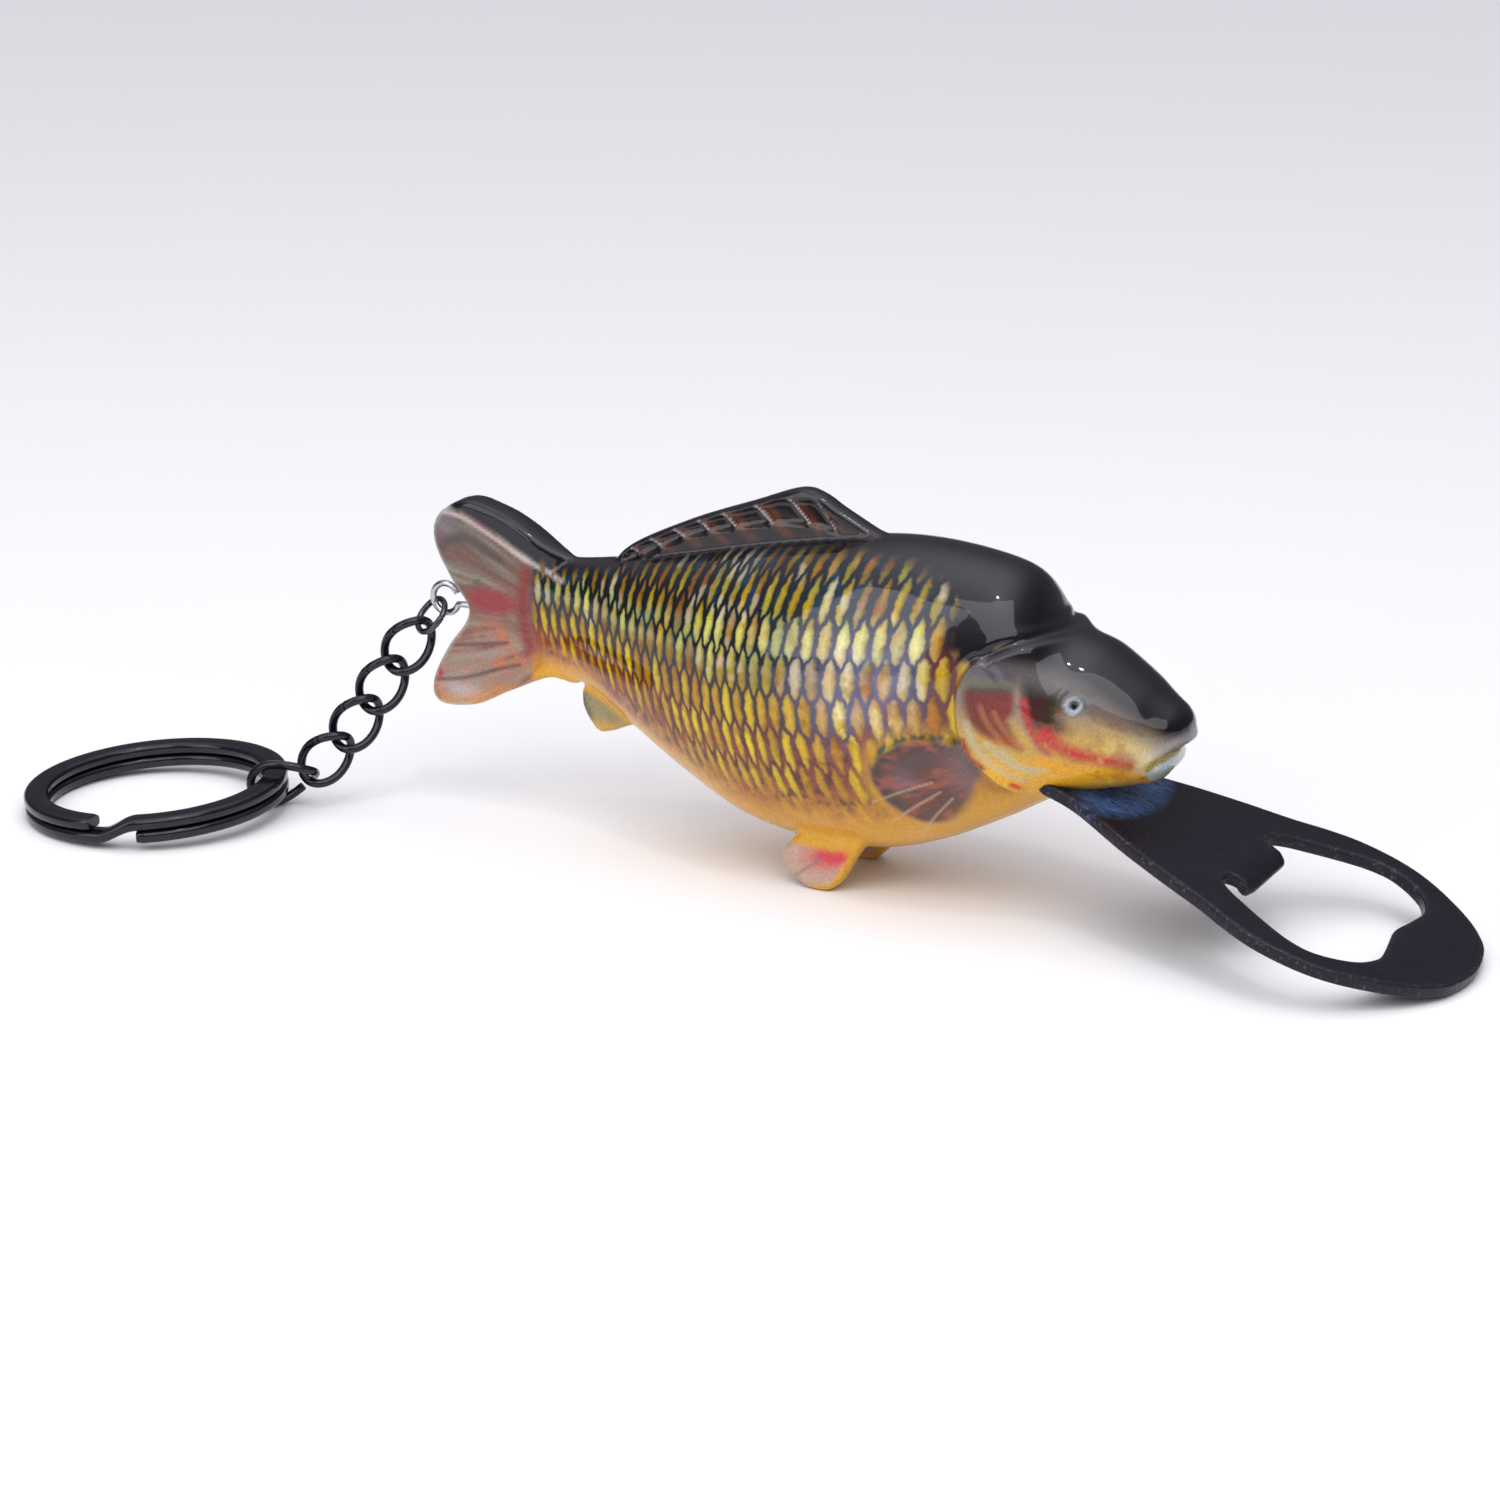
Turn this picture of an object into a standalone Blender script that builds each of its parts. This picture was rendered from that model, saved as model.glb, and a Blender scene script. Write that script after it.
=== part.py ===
"""Souvenir bottle opener: a cast carp on a stamped steel plate, with a chain and a split ring.

All lengths below are in millimetres and are turned into metres by MM.
Design frame: X runs from the tail to the nose, Y to the carp's left, Z up from the table.
The carp stands on its two belly fins and on the tip of the plate.
The root empty moves the design frame so that the world origin lies on the table under the
middle of the whole opener.
"""

import math

import bmesh
import bpy
from mathutils import Matrix, Vector

MM = 0.001
GAP = 0.3               # clearance kept between neighbouring solids

# Split ring: two coils of flat wire
RING_OUTER = 15.0       # outer radius
RING_BAND = 2.7         # radial width of the wire
COIL_HEIGHT = 1.35      # height of one coil
COIL_GAP = 0.12         # air between the two coils
RING_SOFT = 0.3         # chamfer on the wire's edges
RING_CENTRE = Vector((-78.89, -17.18, 0.0))
RING_LIFT = 1.73        # the chain side of the ring rests on the last link
RING_START = -63.0      # degrees, where the lower coil begins
RING_STEP = 19.0        # degrees taken by the step from the lower to the upper coil

# Opener plate, along its own slope: u from the tail end, v across
PLATE_SLOPE = math.radians(18.2)
PLATE_THICK = 1.4
PLATE_LENGTH = 74.6     # from the point above x = 0 to the tip
PLATE_ORIGIN_Z = PLATE_LENGTH * math.sin(PLATE_SLOPE) + PLATE_THICK * math.cos(PLATE_SLOPE)
TONGUE_START = 9.0      # u where the hidden tongue begins
TONGUE_HALF = 4.6
TONGUE_END = 25.2       # u where the tongue starts to widen
NECK = (26.5, 5.3)      # corner between the tongue and the curved edge
POCKET_STEP = 24.4      # u where the pocket in the throat widens
POCKET_WIDE = 12.0
POCKET_END = 44.0
HOLE_START_U = 48.5
LIP_HALF = 5.2
LIP_END_U = 50.2
LIP_TOE = 1.35          # length of the bent toe
LIP_BEND = math.radians(36)
SLOT_ROUND = 0.7        # corner radius of the slots beside the lip
SLOT_WIDE = 7.2         # half width at which the slots end
EDGE_BEVEL = 0.15

# Screw eye, jump ring and chain
LINK_WIRE = 1.0
LINK_INNER = 5.75       # inner length
LINK_WIDTH = 5.8        # outer width
LINK_TWIST = math.radians(80)
EYE_WIRE = 0.75
EYE_CENTRE = Vector((-50.2, 0.0, 24.5))
EYE_RADIUS = 1.7        # to the wire's middle
JUMP_WIRE = 0.72
EYE_OPENING = -20       # degrees, where the loop meets the shank
EYE_SWEEP = 315         # degrees of the loop
SHANK_RADIUS = 0.55
SHANK_END = -41.0
SHANK_Z = 24.0
JUMP_RADIUS = 2.1       # to the wire's middle
JUMP_ROLL = 72          # degrees that the jump ring is turned about its long direction
CHAIN_HEADING = math.radians(-145.3)
CHAIN_START = Vector((-51.0, 0.0, 23.55))    # where the jump ring hangs in the screw eye
PITCH = LINK_INNER - GAP
JUMP_PITCH = 2 * JUMP_RADIUS - JUMP_WIRE - GAP
# name, distance between its two hanging points, drop below level in degrees
CHAIN = (
    ("jump_ring", JUMP_PITCH, 48),
    ("chain_link_1", PITCH, 53.5),
    ("chain_link_2", PITCH, 57.5),
    ("chain_link_3", PITCH, 53.5),
    ("chain_link_4", PITCH, 44.5),
)
END_LINK_DROP = math.radians(12.5)
END_LINK_INNER = 6.48
END_LINK_WIDTH = 6.65
END_LINK_ROLL = math.radians(-30)
END_LINK_TWIST = math.radians(60)

Z_AXIS = Vector((0, 0, 1))
WORLD_SHIFT = Vector((11.53, 8.0, 0.0))


# ---------------------------------------------------------------- helpers

def clear_scene():
    for item in list(bpy.data.objects):
        bpy.data.objects.remove(item, do_unlink=True)


def material(name, colour, roughness, metallic):
    made = bpy.data.materials.new(name)
    made.use_nodes = True
    shader = made.node_tree.nodes["Principled BSDF"]
    shader.inputs["Base Color"].default_value = (*colour, 1.0)
    shader.inputs["Roughness"].default_value = roughness
    shader.inputs["Metallic"].default_value = metallic
    return made


def smooth_curve(points, steps):
    """Points on a Catmull-Rom curve through the given points."""
    out = []
    last = len(points) - 1
    for i in range(last):
        p0 = Vector(points[max(i - 1, 0)])
        p1 = Vector(points[i])
        p2 = Vector(points[i + 1])
        p3 = Vector(points[min(i + 2, last)])
        for k in range(steps):
            t = k / steps
            out.append(0.5 * (2 * p1 + (p2 - p0) * t + (2 * p0 - 5 * p1 + 4 * p2 - p3) * t ** 2
                              + (3 * p1 - p0 - 3 * p2 + p3) * t ** 3))
    out.append(Vector(points[last]))
    return out


def finish_mesh(mesh_builder, name, look, parent, origin=Vector((0, 0, 0)), sharp=40):
    """Writes a bmesh whose points are in design millimetres to an object with this origin."""
    bmesh.ops.recalc_face_normals(mesh_builder, faces=mesh_builder.faces)
    for vert in mesh_builder.verts:
        vert.co = (vert.co - origin) * MM
    mesh = bpy.data.meshes.new(name)
    mesh_builder.to_mesh(mesh)
    mesh_builder.free()
    mesh.shade_smooth()
    mesh.set_sharp_from_angle(angle=math.radians(sharp))
    item = bpy.data.objects.new(name, mesh)
    bpy.context.collection.objects.link(item)
    item.location = origin * MM
    item.parent = parent
    mesh.materials.append(look)
    return item


def as_cutter(item):
    item.hide_render = True
    item.display_type = "WIRE"


def boolean(item, other, operation):
    cut = item.modifiers.new(operation.title() + "_" + other.name, "BOOLEAN")
    cut.operation = operation
    cut.solver = "EXACT"
    cut.object = other
    as_cutter(other)


def loft(rings):
    """Closed skin through rings that have equally many points, capped at both ends."""
    made = bmesh.new()
    rows = [[made.verts.new(point) for point in ring] for ring in rings]
    count = len(rows[0])
    for low, high in zip(rows, rows[1:]):
        for k in range(count):
            n = (k + 1) % count
            made.faces.new((low[k], low[n], high[n], high[k]))
    made.faces.new(rows[0][::-1])
    made.faces.new(rows[-1])
    return made


def tube(path, radius, sides, closed):
    """Round wire along a list of points."""
    made = bmesh.new()
    count = len(path)
    rows = []
    normal = Vector((0.31, 0.17, 0.93))
    for i, point in enumerate(path):
        if closed:
            tangent = (path[(i + 1) % count] - path[i - 1]).normalized()
        else:
            tangent = (path[min(i + 1, count - 1)] - path[max(i - 1, 0)]).normalized()
        normal = (normal - tangent * normal.dot(tangent)).normalized()
        side = tangent.cross(normal)
        row = []
        for k in range(sides):
            turn = 2 * math.pi * k / sides
            row.append(made.verts.new(point + radius * (math.cos(turn) * normal + math.sin(turn) * side)))
        rows.append(row)
    for low, high in zip(rows, rows[1:]):
        for k in range(sides):
            n = (k + 1) % sides
            made.faces.new((low[k], low[n], high[n], high[k]))
    if closed:
        first = Vector(rows[0][0].co)
        shift = min(range(sides), key=lambda k: (rows[-1][k].co - first).length)
        for k in range(sides):
            n = (k + 1) % sides
            low_a = rows[-1][(k + shift) % sides]
            low_b = rows[-1][(n + shift) % sides]
            made.faces.new((low_a, low_b, rows[0][n], rows[0][k]))
    else:
        made.faces.new(rows[0][::-1])
        made.faces.new(rows[-1])
    return made


# ---------------------------------------------------------------- carp

# x, belly z, back z, half width
BODY_STATIONS = (
    (-36.0, 17.6, 31.2, 2.3),
    (-31.0, 16.8, 31.6, 3.3),
    (-25.0, 13.2, 32.6, 5.4),
    (-18.0, 9.2, 34.0, 7.8),
    (-10.0, 5.4, 35.8, 9.8),
    (-2.0, 4.0, 37.4, 10.9),
    (6.0, 4.2, 38.7, 11.3),
    (13.0, 6.4, 38.5, 11.0),
    (20.0, 9.9, 37.4, 9.9),
    (24.5, 12.6, 34.4, 8.8),
    (27.0, 13.9, 31.2, 8.2),
    (30.5, 14.7, 30.0, 7.5),
    (34.5, 15.7, 27.4, 6.2),
    (37.4, 16.9, 25.2, 4.5),
    (39.2, 19.4, 23.7, 2.3),
    (39.7, 20.6, 22.8, 1.0),
)
BODY_SIDES = 28
BODY_STEPS = 2
BODY_SQUARENESS = 0.92  # below 1 the section is a little fuller than an ellipse


def body_ring(x, belly, back, half):
    middle = (belly + back) / 2
    height = (back - belly) / 2
    ring = []
    for k in range(BODY_SIDES):
        turn = 2 * math.pi * k / BODY_SIDES
        c = math.cos(turn)
        s = math.sin(turn)
        y = half * math.copysign(abs(c) ** BODY_SQUARENESS, c)
        z = middle + height * math.copysign(abs(s) ** BODY_SQUARENESS, s)
        ring.append(Vector((x, y, z)))
    return ring


def body_mesh():
    flat = [Vector(row) for row in BODY_STATIONS]
    rows = []
    for row in smooth_curve(flat, BODY_STEPS):
        rows.append(body_ring(*row))
    return loft(rows)


# Fin outlines, x and z
TAIL_OUTLINE = (
    (-30.5, 29.8), (-33.2, 31.3), (-36.0, 32.7), (-40.5, 35.2), (-45.2, 36.7), (-48.2, 36.2), (-50.5, 34.2),
    (-50.9, 31.6), (-49.0, 27.6), (-46.5, 23.8), (-48.9, 20.0), (-51.2, 16.0), (-51.3, 13.2),
    (-49.5, 12.2), (-45.4, 12.9), (-41.0, 15.1), (-36.3, 17.2), (-32.0, 17.8),
)
DORSAL_OUTLINE = (
    (-27.8, 31.4), (-25.7, 34.0), (-18.2, 37.7), (-10.9, 40.5), (-5.5, 42.5), (-2.8, 42.2),
    (-0.2, 40.8), (3.0, 39.2), (6.0, 37.6), (4.0, 35.0), (-12.0, 31.5), (-26.0, 29.5),
)
ANAL_OUTLINE = (
    (-31.0, 17.5), (-32.2, 14.9), (-30.4, 12.0), (-28.6, 12.0), (-25.4, 13.2), (-22.0, 13.0),
    (-23.5, 16.0),
)
PELVIC_OUTLINE = (
    (-1.6, 9.4), (-2.0, 7.6), (-2.7, 5.9), (-3.7, 4.9), (-4.4, 3.9), (-4.5, 2.9), (-4.0, 1.9),
    (-2.8, 0.9), (-1.2, 0.0), (1.4, 0.0), (2.7, 1.2), (3.4, 2.4), (4.3, 4.1), (5.3, 6.0), (4.9, 9.4),
)
PELVIC_Y = 5.4


def blade(outline, steps, half_thick, rim):
    """Flat fin in the XZ plane with chamfered rims."""
    loop = smooth_curve([Vector((x, 0, z)) for x, z in (*outline, outline[0])], steps)[:-1]
    middle = sum(loop, Vector()) / len(loop)
    inner = [point + (middle - point).normalized() * rim for point in loop]
    rings = []
    for points, y in ((inner, half_thick), (loop, half_thick - rim), (loop, rim - half_thick),
                      (inner, -half_thick)):
        rings.append([point + Vector((0, y, 0)) for point in points])
    return loft(rings)


def pelvic_mesh(side):
    """Belly fin: a rounded lobe with a flat sole on the table."""
    outline = [Vector((x, 0, z)) for x, z in PELVIC_OUTLINE]
    rings = []
    for y, shrink in ((-1.3, 0.86), (-0.7, 1.0), (0.7, 1.0), (1.3, 0.86)):
        ring = []
        for point in outline:
            lean = side * (PELVIC_Y - 0.10 * (point.z - 2.0))
            x = 1.0 + (point.x - 1.0) * shrink
            ring.append(Vector((x, lean + y, point.z)))
        rings.append(ring)
    return loft(rings)


def pocket_cutter(parent, look):
    """Room for the plate in the throat: a slot for its tongue that widens at the opening."""
    half = ((TONGUE_START - GAP, TONGUE_HALF + GAP), (POCKET_STEP, TONGUE_HALF + GAP),
            (POCKET_STEP, POCKET_WIDE), (POCKET_END, POCKET_WIDE))
    outline = [*half, *[(u, -v) for u, v in reversed(half)]]
    rings = []
    for w in (GAP, -PLATE_THICK - GAP):
        rings.append([plate_point(u, v, w) for u, v in outline])
    return finish_mesh(loft(rings), "pocket_cutter", look, parent)


def plate_point(u, v, w):
    """Point on the plate: u along the slope, v across, w above the top face."""
    c = math.cos(PLATE_SLOPE)
    s = math.sin(PLATE_SLOPE)
    return Vector((u * c + w * s, v, PLATE_ORIGIN_Z - u * s + w * c))


def make_carp(parent, look):
    body = finish_mesh(body_mesh(), "carp_body", look, parent, sharp=60)
    fins = []
    fins.append(("tail", blade(TAIL_OUTLINE, 3, 1.9, 0.5)))
    fins.append(("dorsal", blade(DORSAL_OUTLINE, 3, 1.3, 0.4)))
    fins.append(("anal", blade(ANAL_OUTLINE, 2, 1.1, 0.3)))
    fins.append(("pelvic_left", pelvic_mesh(1)))
    fins.append(("pelvic_right", pelvic_mesh(-1)))
    for name, made in fins:
        boolean(body, finish_mesh(made, name + "_fin_shape", look, parent), "UNION")
    boolean(body, pocket_cutter(parent, look), "DIFFERENCE")
    pilot = tube([Vector((SHANK_END - 8.5, 0, SHANK_Z)), Vector((SHANK_END + GAP, 0, SHANK_Z))],
                 SHANK_RADIUS + GAP, 12, False)
    boolean(body, finish_mesh(pilot, "pilot_cutter", look, parent), "DIFFERENCE")
    return body


# ---------------------------------------------------------------- plate

# Outer edge from the tongue to the round head, u and half width
PLATE_EDGE = (
    (27.5, 6.1), (29.8, 6.2), (31.8, 6.7), (33.6, 7.5), (36.0, 8.7), (39.0, 10.1), (44.0, 12.0),
    (48.5, 13.5), (52.0, 15.0),
    (55.2, 16.0), (58.3, 16.3), (61.4, 15.9), (64.2, 14.9), (67.0, 13.2), (70.0, 10.8),
    (72.2, 8.3), (73.8, 5.2), (PLATE_LENGTH, 0.0),
)
# Hole edge from the lip's slot round to the middle of the far end, u and half width
HOLE_EDGE = (
    (49.2, 8.1), (50.4, 9.1), (53.0, 10.6), (55.7, 12.0), (58.2, 13.0), (60.6, 13.2),
    (62.9, 12.2), (64.9, 10.5), (66.0, 8.4), (66.3, 6.6), (65.9, 3.4), (65.4, 0.0),
)


def plate_outer():
    across = [*PLATE_EDGE, *[(u, -v) for u, v in reversed(PLATE_EDGE[:-1])]]
    edge = smooth_curve([Vector((u, v, 0)) for u, v in across], 3)
    tongue = [Vector((TONGUE_START, TONGUE_HALF, 0)), Vector((TONGUE_END, TONGUE_HALF, 0)),
              Vector((*NECK, 0))]
    return tongue + edge + [Vector((p.x, -p.y, 0)) for p in reversed(tongue)]


def plate_hole():
    across = [*HOLE_EDGE, *[(u, -v) for u, v in reversed(HOLE_EDGE[:-1])]]
    edge = smooth_curve([Vector((u, v, 0)) for u, v in across], 3)
    slot = [Vector((LIP_END_U, LIP_HALF, 0)), Vector((HOLE_START_U + SLOT_ROUND, LIP_HALF + 0.15, 0))]
    for k in range(4):
        turn = math.radians(90 * k / 3)
        slot.append(Vector((HOLE_START_U + SLOT_ROUND * (1 - math.sin(turn)),
                            LIP_HALF + 0.15 + SLOT_ROUND * (1 - math.cos(turn)), 0)))
    slot.append(Vector((HOLE_START_U, SLOT_WIDE, 0)))
    return slot + edge + [Vector((p.x, -p.y, 0)) for p in reversed(slot)]


def plate_mesh():
    """Flat plate with its hole: two filled faces joined by the rims."""
    made = bmesh.new()
    sides = []
    for w in (0.0, -PLATE_THICK):
        edges = []
        for loop in (plate_outer(), plate_hole()):
            verts = [made.verts.new(plate_point(p.x, p.y, w)) for p in loop]
            edges += [made.edges.new((a, b)) for a, b in zip(verts, verts[1:] + verts[:1])]
            sides.append(verts)
        bmesh.ops.triangle_fill(made, edges=edges, use_beauty=True)
    for top, bottom in ((sides[0], sides[2]), (sides[1], sides[3])):
        count = len(top)
        for k in range(count):
            n = (k + 1) % count
            made.faces.new((top[k], top[n], bottom[n], bottom[k]))
    return made


def toe_mesh():
    """Bent toe of the lip, which bites under the cap's edge."""
    reach = LIP_TOE * math.cos(LIP_BEND)
    drop = LIP_TOE * math.sin(LIP_BEND)
    lean = PLATE_THICK * math.sin(LIP_BEND) * 0.6
    profile = ((LIP_END_U - 0.8, 0.0), (LIP_END_U, 0.0), (LIP_END_U + reach, -drop),
               (LIP_END_U + reach - lean, -drop - PLATE_THICK * 0.8), (LIP_END_U - 0.8, -PLATE_THICK))
    rings = []
    for v, pull in ((-LIP_HALF, 0.35), (-LIP_HALF + 0.5, 0.0), (LIP_HALF - 0.5, 0.0), (LIP_HALF, 0.35)):
        rings.append([plate_point(u - (pull if u > LIP_END_U else 0), v, w) for u, w in profile])
    return loft(rings)


def make_plate(parent, look):
    plate = finish_mesh(plate_mesh(), "opener_plate", look, parent, sharp=35)
    boolean(plate, finish_mesh(toe_mesh(), "toe_shape", look, parent), "UNION")
    rim = plate.modifiers.new("rim", "BEVEL")
    rim.width = EDGE_BEVEL * MM
    rim.segments = 1
    rim.limit_method = "ANGLE"
    rim.angle_limit = math.radians(60)
    return plate


# ---------------------------------------------------------------- screw eye, jump ring, links

def make_screw_eye(parent, look):
    """Wire bent to a loop, with its shank in the tail's notch."""
    path = []
    for k in range(21):
        turn = math.radians(EYE_OPENING - EYE_SWEEP * (20 - k) / 20)
        path.append(EYE_CENTRE + EYE_RADIUS * Vector((math.cos(turn), 0, math.sin(turn))))
    for back in (6.6, 4.0, 0.0):
        path.append(Vector((SHANK_END - back, 0, SHANK_Z)))
    return finish_mesh(tube(path, EYE_WIRE / 2, 8, False), "screw_eye", look, parent)


def chain_frame():
    """Unit vectors of the chain's upright plane: along it towards the ring, and across it."""
    along = Vector((math.cos(CHAIN_HEADING), math.sin(CHAIN_HEADING), 0))
    across = along.cross(Z_AXIS)
    return along, across


def chain_points():
    """Hanging points from the screw eye to the last link."""
    along, _ = chain_frame()
    points = [CHAIN_START]
    for _, pitch, drop in CHAIN:
        angle = math.radians(drop)
        points.append(points[-1] + pitch * (math.cos(angle) * along - math.sin(angle) * Z_AXIS))
    return points


def oval(half_length, half_width, steps):
    """Oval of a link's wire: two round ends and gently curved sides."""
    path = []
    for k in range(steps):
        turn = 2 * math.pi * k / steps
        c = math.cos(turn)
        s = math.sin(turn)
        path.append((half_length * math.copysign(abs(c) ** 0.95, c),
                     half_width * math.copysign(abs(s) ** 0.9, s)))
    return path


def link_path(middle, axis, face, half_length, half_width, twist, steps):
    """Closed path of a link: axis is its long direction, face looks out of its plane."""
    side = face.cross(axis)
    path = []
    for x, y in oval(half_length, half_width, steps):
        turn = twist * 0.5 * x / half_length
        path.append(middle + axis * x + y * (math.cos(turn) * side + math.sin(turn) * face))
    return path


def make_links(parent, look, jump_look):
    along, across = chain_frame()
    points = chain_points()
    for (name, _, _), start, end in zip(CHAIN, points, points[1:]):
        middle = (start + end) / 2
        axis = (end - start).normalized()
        if name == "jump_ring":
            face = Matrix.Rotation(math.radians(JUMP_ROLL), 3, axis) @ across
            path = link_path(middle, axis, face, JUMP_RADIUS, JUMP_RADIUS, 0, 24)
            made = tube(path, JUMP_WIRE / 2, 6, True)
        else:
            half_length = (LINK_INNER + LINK_WIRE) / 2
            half_width = (LINK_WIDTH - LINK_WIRE) / 2
            path = link_path(middle, axis, across, half_length, half_width, LINK_TWIST, 36)
            made = tube(path, LINK_WIRE / 2, 6, True)
        finish_mesh(made, name, jump_look if name == "jump_ring" else look, parent, origin=start)
    make_end_link(parent, look, points[-1], along, across)


def end_link_frame(start, along):
    axis = math.cos(END_LINK_DROP) * along - math.sin(END_LINK_DROP) * Z_AXIS
    middle = start + axis * (END_LINK_INNER - GAP) / 2
    return middle, axis


def make_end_link(parent, look, start, along, across):
    """Last link, which goes round the split ring's band."""
    middle, axis = end_link_frame(start, along)
    face = Matrix.Rotation(END_LINK_ROLL, 3, axis) @ across
    half_length = (END_LINK_INNER + LINK_WIRE) / 2
    half_width = (END_LINK_WIDTH - LINK_WIRE) / 2
    path = link_path(middle, axis, face, half_length, half_width, END_LINK_TWIST, 36)
    return finish_mesh(tube(path, LINK_WIRE / 2, 6, True), "chain_link_5", look, parent, origin=start)


# ---------------------------------------------------------------- split ring

def split_ring_mesh():
    """Flat wire wound twice, with one step between its two levels."""
    inner = RING_OUTER - RING_BAND
    section = []
    for r, z in ((inner + RING_SOFT, 0), (RING_OUTER - RING_SOFT, 0), (RING_OUTER, RING_SOFT),
                 (RING_OUTER, COIL_HEIGHT - RING_SOFT), (RING_OUTER - RING_SOFT, COIL_HEIGHT),
                 (inner + RING_SOFT, COIL_HEIGHT), (inner, COIL_HEIGHT - RING_SOFT), (inner, RING_SOFT)):
        section.append((r, z))
    rise = COIL_HEIGHT + COIL_GAP
    step_from = 360 - RING_STEP
    angles = [step_from * k / 44 for k in range(45)]
    angles += [step_from + RING_STEP * k / 6 for k in range(1, 6)]
    angles += [360 + (step_from - 2) * k / 44 for k in range(45)]
    rings = []
    for angle in angles:
        share = min(max((angle - step_from) / RING_STEP, 0), 1)
        level = rise * share * share * (3 - 2 * share)
        turn = math.radians(RING_START + angle)
        ring = []
        for r, z in section:
            ring.append(Vector((r * math.cos(turn), r * math.sin(turn), z + level)))
        rings.append(ring)
    return loft(rings)


def make_split_ring(parent, look):
    """The ring lies on the table and its chain side is lifted by the last link."""
    start = chain_points()[-1]
    lift_dir = Vector((start.x - RING_CENTRE.x, start.y - RING_CENTRE.y, 0)).normalized()
    tilt = math.asin(RING_LIFT / (2 * RING_OUTER - RING_BAND / 2))
    turn = Matrix.Rotation(tilt, 3, lift_dir.cross(Z_AXIS))
    foot = RING_CENTRE - RING_OUTER * lift_dir
    centre = foot + turn @ (RING_OUTER * lift_dir)
    band_middle = (RING_OUTER - RING_BAND / 2) * lift_dir + Vector((0, 0, COIL_HEIGHT + COIL_GAP / 2))
    made = split_ring_mesh()
    for vert in made.verts:
        vert.co = centre + turn @ vert.co
    return finish_mesh(made, "split_ring", look, parent, origin=centre + turn @ band_middle)


# ---------------------------------------------------------------- assembly

def main():
    clear_scene()
    resin = material("printed_resin", (0.42, 0.30, 0.14), 0.18, 0.0)
    black_steel = material("black_coated_steel", (0.035, 0.033, 0.042), 0.42, 0.6)
    black_nickel = material("black_nickel_wire", (0.03, 0.03, 0.035), 0.25, 0.9)
    gunmetal = material("gunmetal_wire", (0.12, 0.12, 0.13), 0.25, 1.0)
    bright_steel = material("bright_steel_wire", (0.55, 0.55, 0.56), 0.25, 1.0)
    root = bpy.data.objects.new("opener_root", None)
    bpy.context.collection.objects.link(root)
    root.location = WORLD_SHIFT * MM
    make_carp(root, resin)
    make_plate(root, black_steel)
    make_screw_eye(root, bright_steel)
    make_links(root, black_nickel, gunmetal)
    make_split_ring(root, black_nickel)


main()
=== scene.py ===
import math

import bmesh
import bpy
import numpy as np
from mathutils import Matrix, Vector


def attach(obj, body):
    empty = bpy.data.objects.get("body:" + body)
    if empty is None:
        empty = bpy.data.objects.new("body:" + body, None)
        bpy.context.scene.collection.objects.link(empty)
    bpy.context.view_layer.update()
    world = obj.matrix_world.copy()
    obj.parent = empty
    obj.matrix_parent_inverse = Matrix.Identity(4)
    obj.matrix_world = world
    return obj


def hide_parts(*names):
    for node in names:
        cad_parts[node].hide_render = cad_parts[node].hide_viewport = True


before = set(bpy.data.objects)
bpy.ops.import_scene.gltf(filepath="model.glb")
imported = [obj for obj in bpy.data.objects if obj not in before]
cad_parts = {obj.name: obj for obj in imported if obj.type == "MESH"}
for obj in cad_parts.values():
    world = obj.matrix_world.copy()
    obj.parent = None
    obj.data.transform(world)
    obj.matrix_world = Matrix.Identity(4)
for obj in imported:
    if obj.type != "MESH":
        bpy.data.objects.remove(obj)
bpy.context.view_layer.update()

# Design lengths are in millimetres. X runs from the tail to the nose, Y to the carp's left,
# Z up from the table. ORIGIN moves the design frame to the model's frame.
MM = 0.001
ORIGIN = np.array((11.53, 8.0, 0.0))

Z_AXIS = Vector((0, 0, 1))


# ---------------------------------------------------------------- helpers

def srgb(r, g, b):
    """Linear colour from 0-255 display values."""
    out = []
    for value in (r, g, b):
        v = value / 255
        out.append(v / 12.92 if v <= 0.04045 else ((v + 0.055) / 1.055) ** 2.4)
    return np.array(out)


def smooth_curve(points, steps, closed=False):
    """Points on a Catmull-Rom curve through the given points."""
    pts = np.array(points, float)
    count = len(pts)
    out = []
    spans = count if closed else count - 1
    t = np.linspace(0, 1, steps, endpoint=False)[:, None]
    for i in range(spans):
        if closed:
            p0, p1, p2, p3 = (pts[(i + k) % count] for k in (-1, 0, 1, 2))
        else:
            p0, p1, p2, p3 = (pts[min(max(i + k, 0), count - 1)] for k in (-1, 0, 1, 2))
        out.append(0.5 * (2 * p1 + (p2 - p0) * t + (2 * p0 - 5 * p1 + 4 * p2 - p3) * t ** 2
                          + (3 * p1 - p0 - 3 * p2 + p3) * t ** 3))
    if not closed:
        out.append(pts[-1:])
    return np.vstack(out)


def smoothstep(low, high, value):
    t = np.clip((value - low) / (high - low), 0, 1)
    return t * t * (3 - 2 * t)


def loft(rings):
    """Skin through rings that have equally many points, capped at both ends."""
    made = bmesh.new()
    rows = [[made.verts.new(point) for point in ring] for ring in rings]
    count = len(rows[0])
    for low, high in zip(rows, rows[1:]):
        for k in range(count):
            n = (k + 1) % count
            made.faces.new((low[k], low[n], high[n], high[k]))
    made.faces.new(rows[0][::-1])
    made.faces.new(rows[-1])
    return made


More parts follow.
